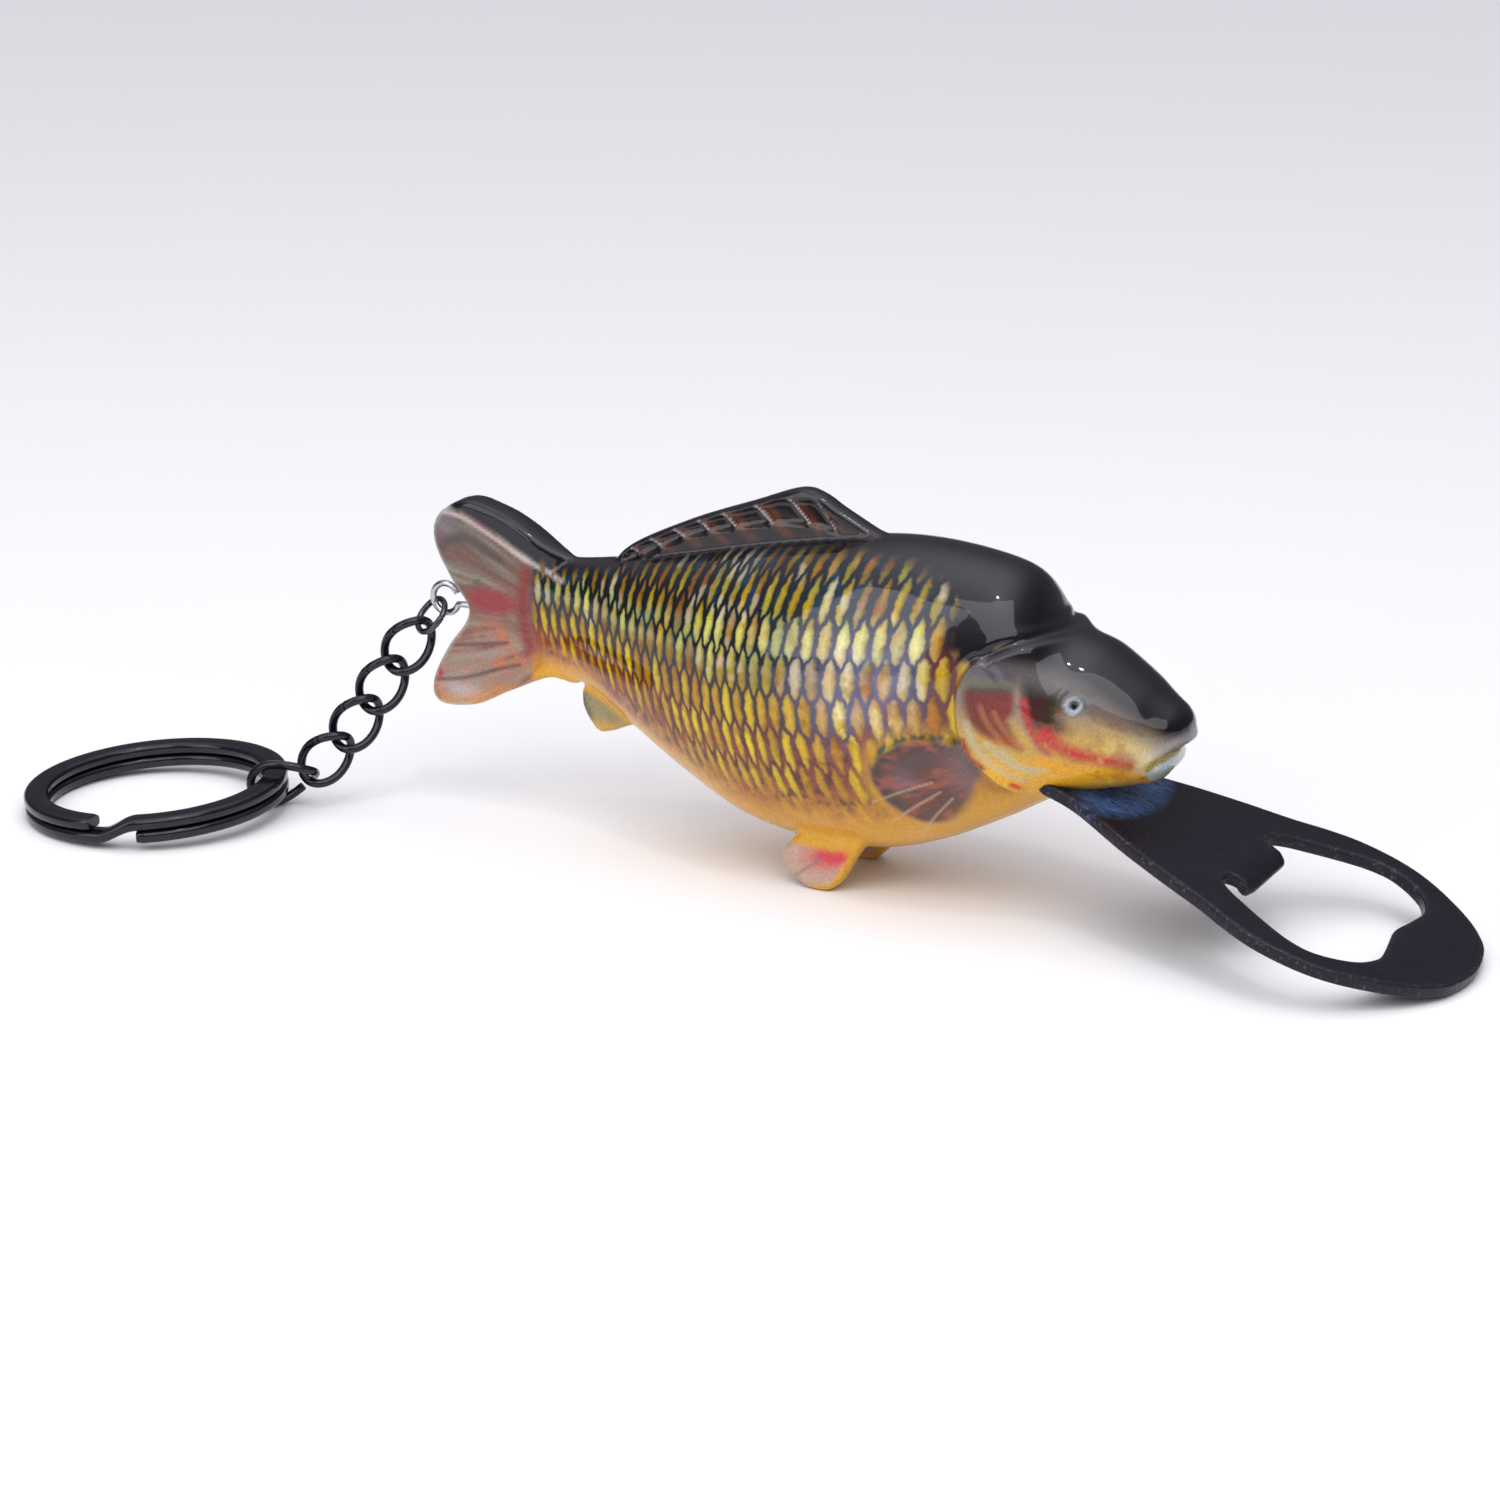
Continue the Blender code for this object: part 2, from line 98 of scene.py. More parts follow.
def finish_mesh(made, name, look=None, sharp=40):
    """Writes a bmesh in design millimetres to a new object in the model's frame."""
    bmesh.ops.recalc_face_normals(made, faces=made.faces)
    for vert in made.verts:
        vert.co = (vert.co + Vector(ORIGIN)) * MM
    mesh = bpy.data.meshes.new(name)
    made.to_mesh(mesh)
    made.free()
    mesh.shade_smooth()
    mesh.set_sharp_from_angle(angle=math.radians(sharp))
    item = bpy.data.objects.new(name, mesh)
    bpy.context.collection.objects.link(item)
    if look:
        mesh.materials.append(look)
    return item


def apply_modifiers(item):
    """Replaces an object's mesh by what its modifiers make of it."""
    graph = bpy.context.evaluated_depsgraph_get()
    graph.update()
    mesh = bpy.data.meshes.new_from_object(item.evaluated_get(graph))
    item.modifiers.clear()
    item.data = mesh


def tube_rings(path, radius, sides):
    """Rings of points round a path, carried along without twisting."""
    path = [Vector(p) for p in path]
    count = len(path)
    radii = radius if isinstance(radius, list) else [radius] * count
    normal = Vector((0.31, 0.17, 0.93))
    rings = []
    for i, point in enumerate(path):
        tangent = (path[min(i + 1, count - 1)] - path[max(i - 1, 0)]).normalized()
        normal = (normal - tangent * normal.dot(tangent)).normalized()
        side = tangent.cross(normal)
        ring = []
        for k in range(sides):
            turn = 2 * math.pi * k / sides
            ring.append(point + radii[i] * (math.cos(turn) * normal + math.sin(turn) * side))
        rings.append(ring)
    return rings


def wire(path, radius, sides=16, blunt=0.25):
    """Closed wire with softened cut ends; blunt is the share of the radius that is rounded."""
    path = [Vector(p) for p in path]
    start = (path[1] - path[0]).normalized()
    end = (path[-1] - path[-2]).normalized()
    cut = radius * blunt
    turns = [math.radians(90 * k / 3) for k in range(4)]
    head = [path[0] + start * (cut - cut * math.sin(turn)) for turn in reversed(turns)]
    tail = [path[-1] - end * (cut - cut * math.sin(turn)) for turn in turns]
    tail_r = [radius - cut + cut * math.cos(turn) for turn in turns]
    inner = [p for p in path[1:-1] if (p - head[-1]).length > cut and (p - tail[0]).length > cut]
    points = head + inner + tail
    radii = tail_r[::-1] + [radius] * len(inner) + tail_r
    return loft(tube_rings(points, radii, sides))


# ---------------------------------------------------------------- node materials

class Nodes:
    """Short way of writing the nodes of a material or world."""

    def __init__(self, owner):
        owner.use_nodes = True
        self.owner = owner
        self.tree = owner.node_tree
        self.shader = self.tree.nodes.get("Principled BSDF")

    def new(self, kind, **values):
        node = self.tree.nodes.new(kind)
        for key, value in values.items():
            setattr(node, key, value)
        return node

    def link(self, source, target):
        self.tree.links.new(source, target)

    def math(self, operation, a, b=0.0, c=0.0, clamp=False):
        node = self.new("ShaderNodeMath", operation=operation, use_clamp=clamp)
        for socket, value in zip(node.inputs, (a, b, c)):
            self.put(socket, value)
        return node.outputs[0]

    def put(self, socket, value):
        if isinstance(value, bpy.types.NodeSocket):
            self.link(value, socket)
        else:
            socket.default_value = value

    def mix(self, factor, a, b, blend="MIX"):
        node = self.new("ShaderNodeMix", data_type="RGBA", blend_type=blend)
        self.put(node.inputs[0], factor)
        for socket, value in ((node.inputs[6], a), (node.inputs[7], b)):
            if not isinstance(value, bpy.types.NodeSocket):
                value = (*value, 1.0)
            self.put(socket, value)
        return node.outputs[2]

    def ramp(self, factor, stops):
        node = self.new("ShaderNodeValToRGB")
        self.put(node.inputs[0], factor)
        ramp = node.color_ramp
        while len(ramp.elements) < len(stops):
            ramp.elements.new(0.5)
        for element, (place, colour) in zip(ramp.elements, stops):
            element.position = place
            element.color = (*colour, 1.0) if len(colour) == 3 else colour
        return node.outputs[0]

    def noise(self, scale, detail=3.0, roughness=0.5, stretch=(1, 1, 1), seed=0.0):
        coords = self.new("ShaderNodeTexCoord")
        mapping = self.new("ShaderNodeMapping")
        mapping.inputs["Scale"].default_value = stretch
        mapping.inputs["Location"].default_value = (seed, seed * 0.37, seed * 0.71)
        self.link(coords.outputs["Object"], mapping.inputs[0])
        node = self.new("ShaderNodeTexNoise")
        node.inputs["Scale"].default_value = scale
        node.inputs["Detail"].default_value = detail
        node.inputs["Roughness"].default_value = roughness
        self.link(mapping.outputs[0], node.inputs["Vector"])
        return node.outputs["Fac"]

    def attribute(self, name, output="Color"):
        node = self.new("ShaderNodeAttribute", attribute_name=name)
        return node.outputs[output]

    def bump(self, height, strength, distance, after=None):
        node = self.new("ShaderNodeBump")
        node.inputs["Strength"].default_value = strength
        node.inputs["Distance"].default_value = distance
        self.link(height, node.inputs["Height"])
        if after is not None:
            self.link(after, node.inputs["Normal"])
        return node.outputs[0]

    def set(self, **values):
        """Constants and links on the shader, by socket name with _ for a space."""
        for key, value in values.items():
            self.put(self.shader.inputs[key.replace("_", " ")], value)


def grey(value):
    return (value, value, value)


def wire_material(name, base, worn, roughness, metallic=1.0):
    """Plated wire: fine die lines, worn brighter spots and smudges in the gloss."""
    n = Nodes(bpy.data.materials.new(name))
    spots = n.noise(900, 4, 0.6)
    smudge = n.noise(260, 3, 0.5, seed=3.0)
    wear = n.ramp(spots, [(0.52, grey(0.0)), (0.72, grey(1.0))])
    n.set(Base_Color=n.mix(n.math("MULTIPLY", wear, 0.55), base, worn), Metallic=metallic)
    rough = n.math("MULTIPLY_ADD", smudge, 0.16, roughness - 0.08)
    n.set(Roughness=rough)
    n.set(Normal=n.bump(n.noise(2600, 2, 0.5, seed=5.0), 0.12, 0.00004))
    return n.owner


# The painted reflection on the plate, a streaked blue patch of light painted near the carp's mouth: middle
# (along, across, above the top face), reach, and colour.
PAINTED_REFLECTION_MIDDLE = (33.2, 1.6, 0.0)
PAINTED_REFLECTION_FALL = (235.0, 120.0, 0.0)
PAINTED_REFLECTION_BLUE = tuple(srgb(92, 136, 206))


def plate_material():
    """Satin black coating on stamped steel, a little brighter along its worn edges, with a painted blue
    reflection near the carp's mouth.
    """
    n = Nodes(bpy.data.materials.new("black_coated_steel"))
    edge = n.attribute("edge", "Fac")
    chips = n.ramp(n.noise(2200, 4, 0.7), [(0.56, grey(0.0)), (0.66, grey(1.0))])
    soft = n.noise(420, 4, 0.55, seed=2.0)
    base = n.mix(soft, tuple(srgb(18, 15, 24)), tuple(srgb(30, 27, 38)))
    rub = n.math("MULTIPLY", edge, n.math("MULTIPLY_ADD", chips, 0.7, 0.06), clamp=True)
    colour = n.mix(n.math("MULTIPLY", rub, 0.45), base, tuple(srgb(118, 118, 126)))
    coords = n.new("ShaderNodeTexCoord")
    place = n.new("ShaderNodeVectorMath", operation="SUBTRACT")
    n.link(coords.outputs["Object"], place.inputs[0])
    centre = (plate_point(*PAINTED_REFLECTION_MIDDLE) + Vector(ORIGIN)) * MM
    place.inputs[1].default_value = centre
    spread = n.new("ShaderNodeVectorMath", operation="MULTIPLY")
    n.link(place.outputs[0], spread.inputs[0])
    spread.inputs[1].default_value = PAINTED_REFLECTION_FALL
    far = n.new("ShaderNodeVectorMath", operation="LENGTH")
    n.link(spread.outputs[0], far.inputs[0])
    # Painted reflection: a blue patch of light painted on the coating near the carp's mouth, streaked along
    # the plate.
    lines = n.noise(900, 4, 0.7, stretch=(0.9, 7.0, 1.0), seed=41.0)
    near = n.math("MULTIPLY", n.math("SUBTRACT", 1.15, far.outputs["Value"], clamp=True), 2.2, clamp=True)
    painted_reflection = n.math("MULTIPLY", near, n.math("MULTIPLY_ADD", lines, 6.0, -2.5, clamp=True), clamp=True)
    colour = n.mix(painted_reflection, colour, PAINTED_REFLECTION_BLUE)
    n.set(Base_Color=colour, Metallic=0.0)
    brushed = n.noise(700, 3, 0.6, stretch=(6.0, 0.7, 1.0), seed=7.0)
    n.set(Roughness=n.math("MULTIPLY_ADD", brushed, 0.20, 0.20))
    n.shader.inputs["Specular IOR Level"].default_value = 0.22
    fine = n.bump(n.noise(3200, 3, 0.6, seed=4.0), 0.16, 0.00004)
    n.set(Normal=n.bump(brushed, 0.10, 0.00006, after=fine))
    return n.owner


CELL_REACH = 0.60       # half height of a scale cell, in rows


def carp_material():
    """Printed carp skin under a clear coat: scale cells over a painted ground, with print grain."""
    n = Nodes(bpy.data.materials.new("printed_carp"))
    ground = n.attribute("ground")
    light = n.attribute("cell")
    cell_map = n.attribute("scale_map", "Vector")
    split = n.new("ShaderNodeSeparateXYZ")
    n.link(cell_map, split.inputs[0])
    warp = n.noise(900, 2, 0.5, seed=9.0)
    along = n.math("ADD", split.outputs[0], n.math("MULTIPLY_ADD", warp, 0.44, -0.22))
    sway = n.noise(700, 2, 0.5, seed=11.0)
    across = n.math("ADD", split.outputs[1], n.math("MULTIPLY_ADD", sway, 0.3, -0.15))
    amount = split.outputs[2]
    fill = n.attribute("fill", "Fac")
    masks = []
    depths = []
    sides = []
    ids = []
    for shift in (0.0, 1.0):
        row = n.math("SUBTRACT", across, shift)
        row_id = n.math("MULTIPLY", n.math("ROUND", n.math("MULTIPLY", row, 0.5)), 2.0)
        high = n.math("SUBTRACT", row, row_id)
        moved = n.math("SUBTRACT", along, 0.5 * shift)
        col_id = n.math("ROUND", moved)
        wide = n.math("ABSOLUTE", n.math("SUBTRACT", moved, col_id))
        tall = n.math("DIVIDE", high, CELL_REACH)
        square = n.math("MULTIPLY", tall, tall)
        bulge = n.math("MULTIPLY", n.math("MULTIPLY_ADD", square, 0.5, 0.5), square)
        shape = n.math("MULTIPLY", n.math("SUBTRACT", 1.0, bulge), fill)
        inside = n.math("SUBTRACT", shape, wide)
        masks.append(n.math("MULTIPLY_ADD", inside, 7.0, 0.25, clamp=True))
        depths.append(inside)
        sides.append(n.math("SUBTRACT", moved, col_id))
        both = n.new("ShaderNodeCombineXYZ")
        n.link(col_id, both.inputs[0])
        n.link(n.math("ADD", row_id, shift * 31.0), both.inputs[1])
        ids.append(both.outputs[0])
    mask = n.math("MAXIMUM", masks[0], masks[1])
    chosen = n.new("ShaderNodeMix", data_type="VECTOR")
    second = n.math("GREATER_THAN", masks[1], masks[0])
    n.link(second, chosen.inputs[0])
    side = n.math("ADD", n.math("MULTIPLY", sides[1], second),
                  n.math("MULTIPLY", sides[0], n.math("SUBTRACT", 1.0, second)))
    n.link(ids[0], chosen.inputs[4])
    n.link(ids[1], chosen.inputs[5])
    random = n.new("ShaderNodeTexWhiteNoise", noise_dimensions="3D")
    n.link(chosen.outputs[1], random.inputs["Vector"])
    patchy = n.noise(260, 3, 0.6, seed=13.0)
    depth = n.math("MAXIMUM", depths[0], depths[1])
    tone = n.math("MULTIPLY", n.math("MULTIPLY_ADD", random.outputs["Value"], 0.42, 0.62),
                  n.math("ADD", n.math("MULTIPLY_ADD", depth, 1.3, 0.66), n.math("MULTIPLY", side, -0.6)))
    vivid = n.new("ShaderNodeHueSaturation")
    n.link(light, vivid.inputs["Color"])
    n.link(n.math("MULTIPLY_ADD", random.outputs["Value"], 0.05, 0.475), vivid.inputs["Hue"])
    n.link(n.math("MULTIPLY_ADD", patchy, 0.8, 0.75), vivid.inputs["Saturation"])
    n.link(tone, vivid.inputs["Value"])
    sheen_tint = n.ramp(n.noise(190, 2, 0.5, seed=17.0), [(0.5, grey(0.0)), (0.68, grey(1.0))])
    teal = n.mix(n.math("MULTIPLY", n.math("MULTIPLY", sheen_tint, n.attribute("upper", "Fac")), 0.40),
                 vivid.outputs[0], tuple(srgb(110, 150, 96)))
    amount_mask = n.math("MULTIPLY", mask, amount)
    skin = n.mix(amount_mask, ground, teal)
    grain = n.noise(3600, 3, 0.75, seed=19.0)
    grain_amount = n.attribute("grain", "Fac")
    grain_tone = n.math("MULTIPLY_ADD", n.math("SUBTRACT", grain, 0.5),
                        n.math("MULTIPLY", grain_amount, 1.5), 1.0)
    printed = n.new("ShaderNodeHueSaturation")
    n.link(skin, printed.inputs["Color"])
    n.link(grain_tone, printed.inputs["Value"])
    hue_grain = n.math("MULTIPLY_ADD", n.math("SUBTRACT", n.noise(2300, 2, 0.7, seed=23.0), 0.5),
                       n.math("MULTIPLY", grain_amount, 0.16), 0.5)
    n.link(hue_grain, printed.inputs["Hue"])
    n.set(Base_Color=printed.outputs[0])
    n.set(Roughness=n.math("MULTIPLY_ADD", n.noise(340, 3, 0.5, seed=29.0), 0.16, 0.22))
    n.shader.inputs["Coat Weight"].default_value = 0.85
    n.shader.inputs["Coat Roughness"].default_value = 0.04
    n.shader.inputs["Specular IOR Level"].default_value = 0.1
    peel = n.bump(n.noise(520, 2, 0.5, seed=31.0), 0.10, 0.00012)
    n.set(Normal=n.bump(n.noise(3000, 2, 0.5, seed=37.0), 0.05, 0.00003, after=peel))
    return n.owner


# ---------------------------------------------------------------- carp shape

# x, belly z, back z, half width
BODY_STATIONS = (
    (-43.0, 20.6, 31.6, 1.2), (-39.5, 18.8, 31.5, 1.8), (-36.0, 17.7, 31.2, 2.2),
    (-31.0, 16.8, 31.6, 3.2), (-25.0, 13.2, 32.6, 5.3), (-18.0, 9.2, 34.0, 7.7),
    (-10.0, 5.4, 35.8, 9.7), (-2.0, 4.1, 37.4, 10.8),
    (6.0, 4.3, 38.6, 11.2), (13.0, 6.4, 38.5, 10.9), (20.0, 9.9, 37.3, 9.8),
    (23.6, 12.0, 35.0, 8.9), (25.6, 13.2, 32.3, 8.4), (27.4, 14.0, 30.9, 8.1), (30.5, 14.7, 29.9, 7.5),
    (34.5, 15.7, 27.4, 6.1), (36.6, 16.4, 25.8, 4.9), (37.7, 17.8, 25.0, 4.1),
    (38.4, 19.4, 24.5, 3.4), (39.2, 20.3, 23.7, 2.3), (39.65, 21.1, 22.9, 1.0),
)
BODY_SIDES = 72
BODY_STEPS = 5
BLADE_STEPS = 8
SQUARENESS = 0.92
VOXEL = 0.27

TAIL_OUTLINE = (
    (-30.5, 29.8), (-33.2, 31.3), (-36.0, 32.7), (-40.5, 35.2), (-45.2, 36.7), (-48.2, 36.2),
    (-50.5, 34.2),
    (-50.9, 31.6), (-49.0, 27.6), (-46.5, 23.8), (-48.9, 20.0), (-51.2, 16.0), (-51.3, 13.2),
    (-49.5, 12.2), (-45.4, 12.9), (-41.0, 15.1), (-36.3, 17.2), (-32.0, 17.8),
)
DORSAL_OUTLINE = (
    (-27.8, 31.4), (-25.7, 34.0), (-18.2, 37.7), (-10.9, 40.5), (-5.5, 42.5), (-2.8, 42.2),
    (-0.2, 40.8), (3.0, 39.2), (6.0, 37.6), (4.0, 35.0), (-12.0, 31.5), (-26.0, 29.5),
)
ANAL_OUTLINE = (
    (-31.0, 17.5), (-32.2, 14.9), (-30.4, 12.0), (-28.6, 12.0), (-25.4, 13.2), (-22.0, 13.0),
    (-23.5, 16.0),
)
PELVIC_OUTLINE = (
    (-2.0, 7.6), (-2.7, 5.9), (-3.7, 4.9), (-4.4, 3.9), (-4.5, 2.9), (-4.0, 1.9), (-2.8, 1.0),
    (-1.2, 0.1), (1.3, 0.1), (2.7, 1.2), (3.4, 2.4), (4.3, 4.1), (5.3, 6.0), (5.0, 8.6), (-1.4, 9.0),
)
PELVIC_Y = 5.4


def body_mesh():
    rings = []
    for x, belly, back, half in smooth_curve(BODY_STATIONS, BODY_STEPS):
        middle = (belly + back) / 2
        height = (back - belly) / 2
        ring = []
        for k in range(BODY_SIDES):
            turn = 2 * math.pi * k / BODY_SIDES
            c = math.cos(turn)
            s = math.sin(turn)
            ring.append(Vector((x, half * math.copysign(abs(c) ** SQUARENESS, c),
                                middle + height * math.copysign(abs(s) ** SQUARENESS, s))))
        rings.append(ring)
    return loft(rings)


def blade(outline, half_thick, rim, centre_y=0.0, lean=0.0, root=None):
    """Fin in the XZ plane with a rounded rim; lean moves it sideways with height.
    With a root (thin x, full x) it starts thin inside the body and grows to its full thickness."""
    loop = smooth_curve(outline, BLADE_STEPS, closed=True)
    forward = np.roll(loop, -1, axis=0) - np.roll(loop, 1, axis=0)
    normal = np.stack([forward[:, 1], -forward[:, 0]], 1)
    normal /= np.linalg.norm(normal, axis=1)[:, None]
    area = np.sum(loop[:, 0] * np.roll(loop[:, 1], -1) - loop[:, 1] * np.roll(loop[:, 0], -1))
    if area < 0:
        normal = -normal
    rings = []
    for degrees in (90, 60, 30, 0, -30, -60, -90):
        turn = math.radians(degrees)
        inset = rim * (1 - math.cos(turn))
        y = (half_thick - rim) * (1 if turn > 0 else -1 if turn < 0 else 0) + rim * math.sin(turn)
        pts = loop - normal * inset
        ring = []
        for x, z in pts:
            grown = 1.0
            if root:
                grown = 0.35 + 0.65 * float(smoothstep(root[0], root[1], x))
            ring.append(Vector((x, centre_y + lean * (z - 2.0) + y * grown, z)))
        rings.append(ring)
    return loft(rings)


def join_parts(meshes):
    whole = bpy.data.meshes.new("carp_parts")
    made = bmesh.new()
    for part in meshes:
        bmesh.ops.recalc_face_normals(part, faces=part.faces)
        part.to_mesh(whole)
        made.from_mesh(whole)
        part.free()
    return made


# ---------------------------------------------------------------- drawing on the carp

def line_distance(points, x, z, steps=6):
    """Distance to a smooth line, signed by the side that it passes on (left of travel is plus)."""
    line = smooth_curve(points, steps)
    best = np.full(x.shape, 1e9)
    sign = np.ones(x.shape)
    share = np.zeros(x.shape)
    total = len(line) - 1
    for i, (a, b) in enumerate(zip(line, line[1:])):
        d = b - a
        length = float(d @ d)
        t = np.clip(((x - a[0]) * d[0] + (z - a[1]) * d[1]) / length, 0, 1)
        px = x - a[0] - t * d[0]
        pz = z - a[1] - t * d[1]
        dist = np.hypot(px, pz)
        near = dist < best
        best = np.where(near, dist, best)
        sign = np.where(near, np.sign(d[0] * pz - d[1] * px), sign)
        share = np.where(near, (i + t) / total, share)
    return best, sign, share


def stroke(points, x, z, width, soft=0.35, taper=0.0):
    """Mask of a brush line; taper thins it towards its end."""
    dist, _, share = line_distance(points, x, z)
    wide = width * (1 - taper * share)
    return 1 - smoothstep(wide - soft * 0.5, wide + soft, dist)


def patch(points, x, z, soft=0.5):
    """Soft-edged mask of the area inside a smooth closed outline."""
    loop = smooth_curve(points, 5, closed=True)
    inside = np.zeros(x.shape, bool)
    best = np.full(x.shape, 1e9)
    for a, b in zip(loop, np.roll(loop, -1, axis=0)):
        d = b - a
        length = max(float(d @ d), 1e-9)
        t = np.clip(((x - a[0]) * d[0] + (z - a[1]) * d[1]) / length, 0, 1)
        best = np.minimum(best, np.hypot(x - a[0] - t * d[0], z - a[1] - t * d[1]))
        crosses = (a[1] > z) != (b[1] > z)
        with np.errstate(divide="ignore", invalid="ignore"):
            at = a[0] + (z - a[1]) * d[0] / (d[1] if d[1] else 1e-9)
        inside ^= crosses & (x < at)
    signed = np.where(inside, best, -best)
    return smoothstep(-soft, soft, signed), signed


def spot(x, z, centre_x, centre_z, wide, high):
    """Soft round mask about a point of the side view."""
    return np.exp(-(((x - centre_x) / wide) ** 2 + ((z - centre_z) / high) ** 2))


class Paint:
    """A colour for each point of the side view, painted over by masks."""

    def __init__(self, x, z, *first):
        self.x = x
        self.z = z
        self.colour = np.tile(srgb(*first), (len(x), 1))

    def lay(self, mask, *paint):
        """Paints over by a mask, with display values or with another Paint."""
        over = paint[0].colour if len(paint) == 1 else srgb(*paint)
        self.colour = self.colour + (over - self.colour) * mask[:, None]

    def line(self, points, width, soft, strength, *paint):
        self.lay(stroke(points, self.x, self.z, width, soft) * strength, *paint)

    def spot(self, centre_x, centre_z, wide, high, strength, *paint):
        self.lay(spot(self.x, self.z, centre_x, centre_z, wide, high) * strength, *paint)


def value_noise(x, z, size, seed):
    """Cloudy repeatable noise from 0 to 1, without a visible grid."""
    total = 0.0
    for k, weight in enumerate((0.5, 0.3, 0.2)):
        turn = 0.7 + 1.9 * k
        u = x * math.cos(turn) - z * math.sin(turn)
        v = x * math.sin(turn) + z * math.cos(turn)
        total = total + weight * lattice_noise(u, v, size / 1.9 ** k, seed + 3.3 * k)
    return np.clip(0.5 + 1.35 * (total - 0.5), 0, 1)


def lattice_noise(x, z, size, seed):
    u = x / size
    v = z / size
    iu = np.floor(u)
    iv = np.floor(v)
    fu = u - iu
    fv = v - iv
    fu = fu * fu * (3 - 2 * fu)
    fv = fv * fv * (3 - 2 * fv)

    def corner(a, b):
        h = np.sin((a * 127.1 + b * 311.7 + seed * 74.7)) * 43758.5453
        return h - np.floor(h)

    low = corner(iu, iv) * (1 - fu) + corner(iu + 1, iv) * fu
    high = corner(iu, iv + 1) * (1 - fu) + corner(iu + 1, iv + 1) * fu
    return low * (1 - fv) + high * fv


GILL_RIM = ((20.0, 29.6), (18.4, 28.0), (17.7, 25.8), (17.6, 23.7), (18.0, 21.2), (18.9, 19.1),
            (20.2, 17.4), (21.7, 15.8), (23.8, 14.6))
SHOULDER = ((27.2, 31.6), (25.1, 31.4), (23.0, 30.9), (20.8, 29.9), (19.2, 28.6))
EYE = (29.5, 25.3)
MOUTH = ((36.6, 18.5), (37.1, 19.1), (37.9, 19.6), (38.8, 20.1), (39.6, 20.6))
PECTORAL = ((19.9, 19.4), (17.1, 20.3), (14.4, 20.4), (11.7, 19.7), (9.4, 18.2), (8.2, 16.2),
            (8.3, 14.6), (9.5, 12.7), (11.2, 11.2), (13.2, 10.2), (15.2, 10.4), (17.0, 11.8),
            (18.8, 14.4), (20.0, 17.0))
PECTORAL_ROOT = (20.6, 17.3)
BLACK_EDGE = ((-48.0, 35.7), (-40.8, 33.0), (-37.6, 31.2), (-33.6, 30.3), (-27.0, 31.6),
              (-19.2, 33.4), (-13.5, 34.8), (-4.6, 36.6), (3.5, 37.4), (9.4, 37.4), (13.6, 36.4),
              (15.6, 35.0), (16.8, 33.4), (17.3, 31.0), (18.2, 29.2))
HEAD_EDGE = ((18.6, 29.2), (22.0, 29.4), (25.5, 28.8), (28.2, 27.9), (31.2, 26.6), (34.0, 24.9),
             (36.6, 23.2), (38.6, 21.8), (40.4, 21.0))

TAIL_STREAK = ((-49.6, 35.1), (-48.2, 35.0), (-46.3, 34.6), (-43.4, 33.3), (-40.2, 31.7), (-37.0, 30.2),
               (-34.0, 29.0))
LOWER_RAY = ((-51.0, 15.3), (-47.1, 16.0), (-43.1, 17.4), (-39.5, 18.6))
MIDDLE_RAY = ((-50.0, 19.5), (-47.0, 19.9), (-41.1, 20.9))
FACET_CORNERS = (-26.4, -23.9, -21.3, -18.5, -15.4, -12.2, -7.8, -3.3, -0.3)
FACET_STEP = 2.7
FACET_BASE = ((-26.2, 31.9), (-23.9, 32.7), (-21.3, 34.1), (-18.5, 35.5), (-15.4, 36.5), (-12.2, 37.3),
              (-7.8, 38.3), (-3.3, 38.7), (0.9, 37.8))
FACET_TOP = ((-26.6, 32.9), (-24.5, 34.2), (-21.8, 35.4), (-19.1, 36.8), (-16.4, 37.9), (-13.6, 39.0),
             (-10.4, 40.0), (-7.8, 41.1), (-3.5, 41.5), (-1.1, 40.1), (0.7, 38.7))


def body_profile(x):
    """Belly and back height of the body at x."""
    table = smooth_curve(BODY_STATIONS, 6)
    belly = np.interp(x, table[:, 0], table[:, 1])
    back = np.interp(x, table[:, 0], table[:, 2])
    return belly, back


def fin_masks(x, y, z):
    belly, back = body_profile(x)
    tail = smoothstep(-37.2, -38.6, x)
    dorsal = smoothstep(0.1, 0.7, z - back) * (np.abs(y) < 2.2) * (x > -29.5) * (x < 4.5)
    anal = smoothstep(0.2, 0.9, belly - z) * (np.abs(y) < 1.8) * (x > -33.5) * (x < -21.0)
    pelvic = smoothstep(0.0, 1.0, belly + 1.2 - z) * (np.abs(np.abs(y) - PELVIC_Y) < 2.4)
    pelvic = pelvic * (x > -5.0) * (x < 7.5)
    return tail, dorsal, anal, pelvic


def pectoral_fan(x, z):
    """Direction and distance from the root of the pectoral fin."""
    fan = np.arctan2(z - PECTORAL_ROOT[1], PECTORAL_ROOT[0] - x)
    return fan, np.hypot(z - PECTORAL_ROOT[1], x - PECTORAL_ROOT[0])


def facet_places(x, z):
    """Places in the back fin's row of recesses: height above its base, depth below its top,
    count of corners passed, and the distance to the next corner."""
    above_base = z - np.interp(x, *np.array(FACET_BASE).T)
    below_top = np.interp(x, *np.array(FACET_TOP).T) - z
    phase = np.interp(x + 0.9 * above_base, FACET_CORNERS, np.arange(len(FACET_CORNERS)))
    to_corner = (1 - (phase - np.floor(phase))) * FACET_STEP
    return above_base, below_top, phase, to_corner


# Heights of the relief in millimetres.
GILL_RAISE = 0.50
GILL_LIP = 0.16
GILL_GROOVE = 0.22
HUMP_LOWER = 0.95
FOLD_GROOVE = 0.38
PECTORAL_RAISE = 0.26
PECTORAL_RAYS = 0.10
MOUTH_GROOVE = 0.42
FACET_DEPTH = 0.85
FACET_RIB = 0.16
TAIL_RAYS = 0.07


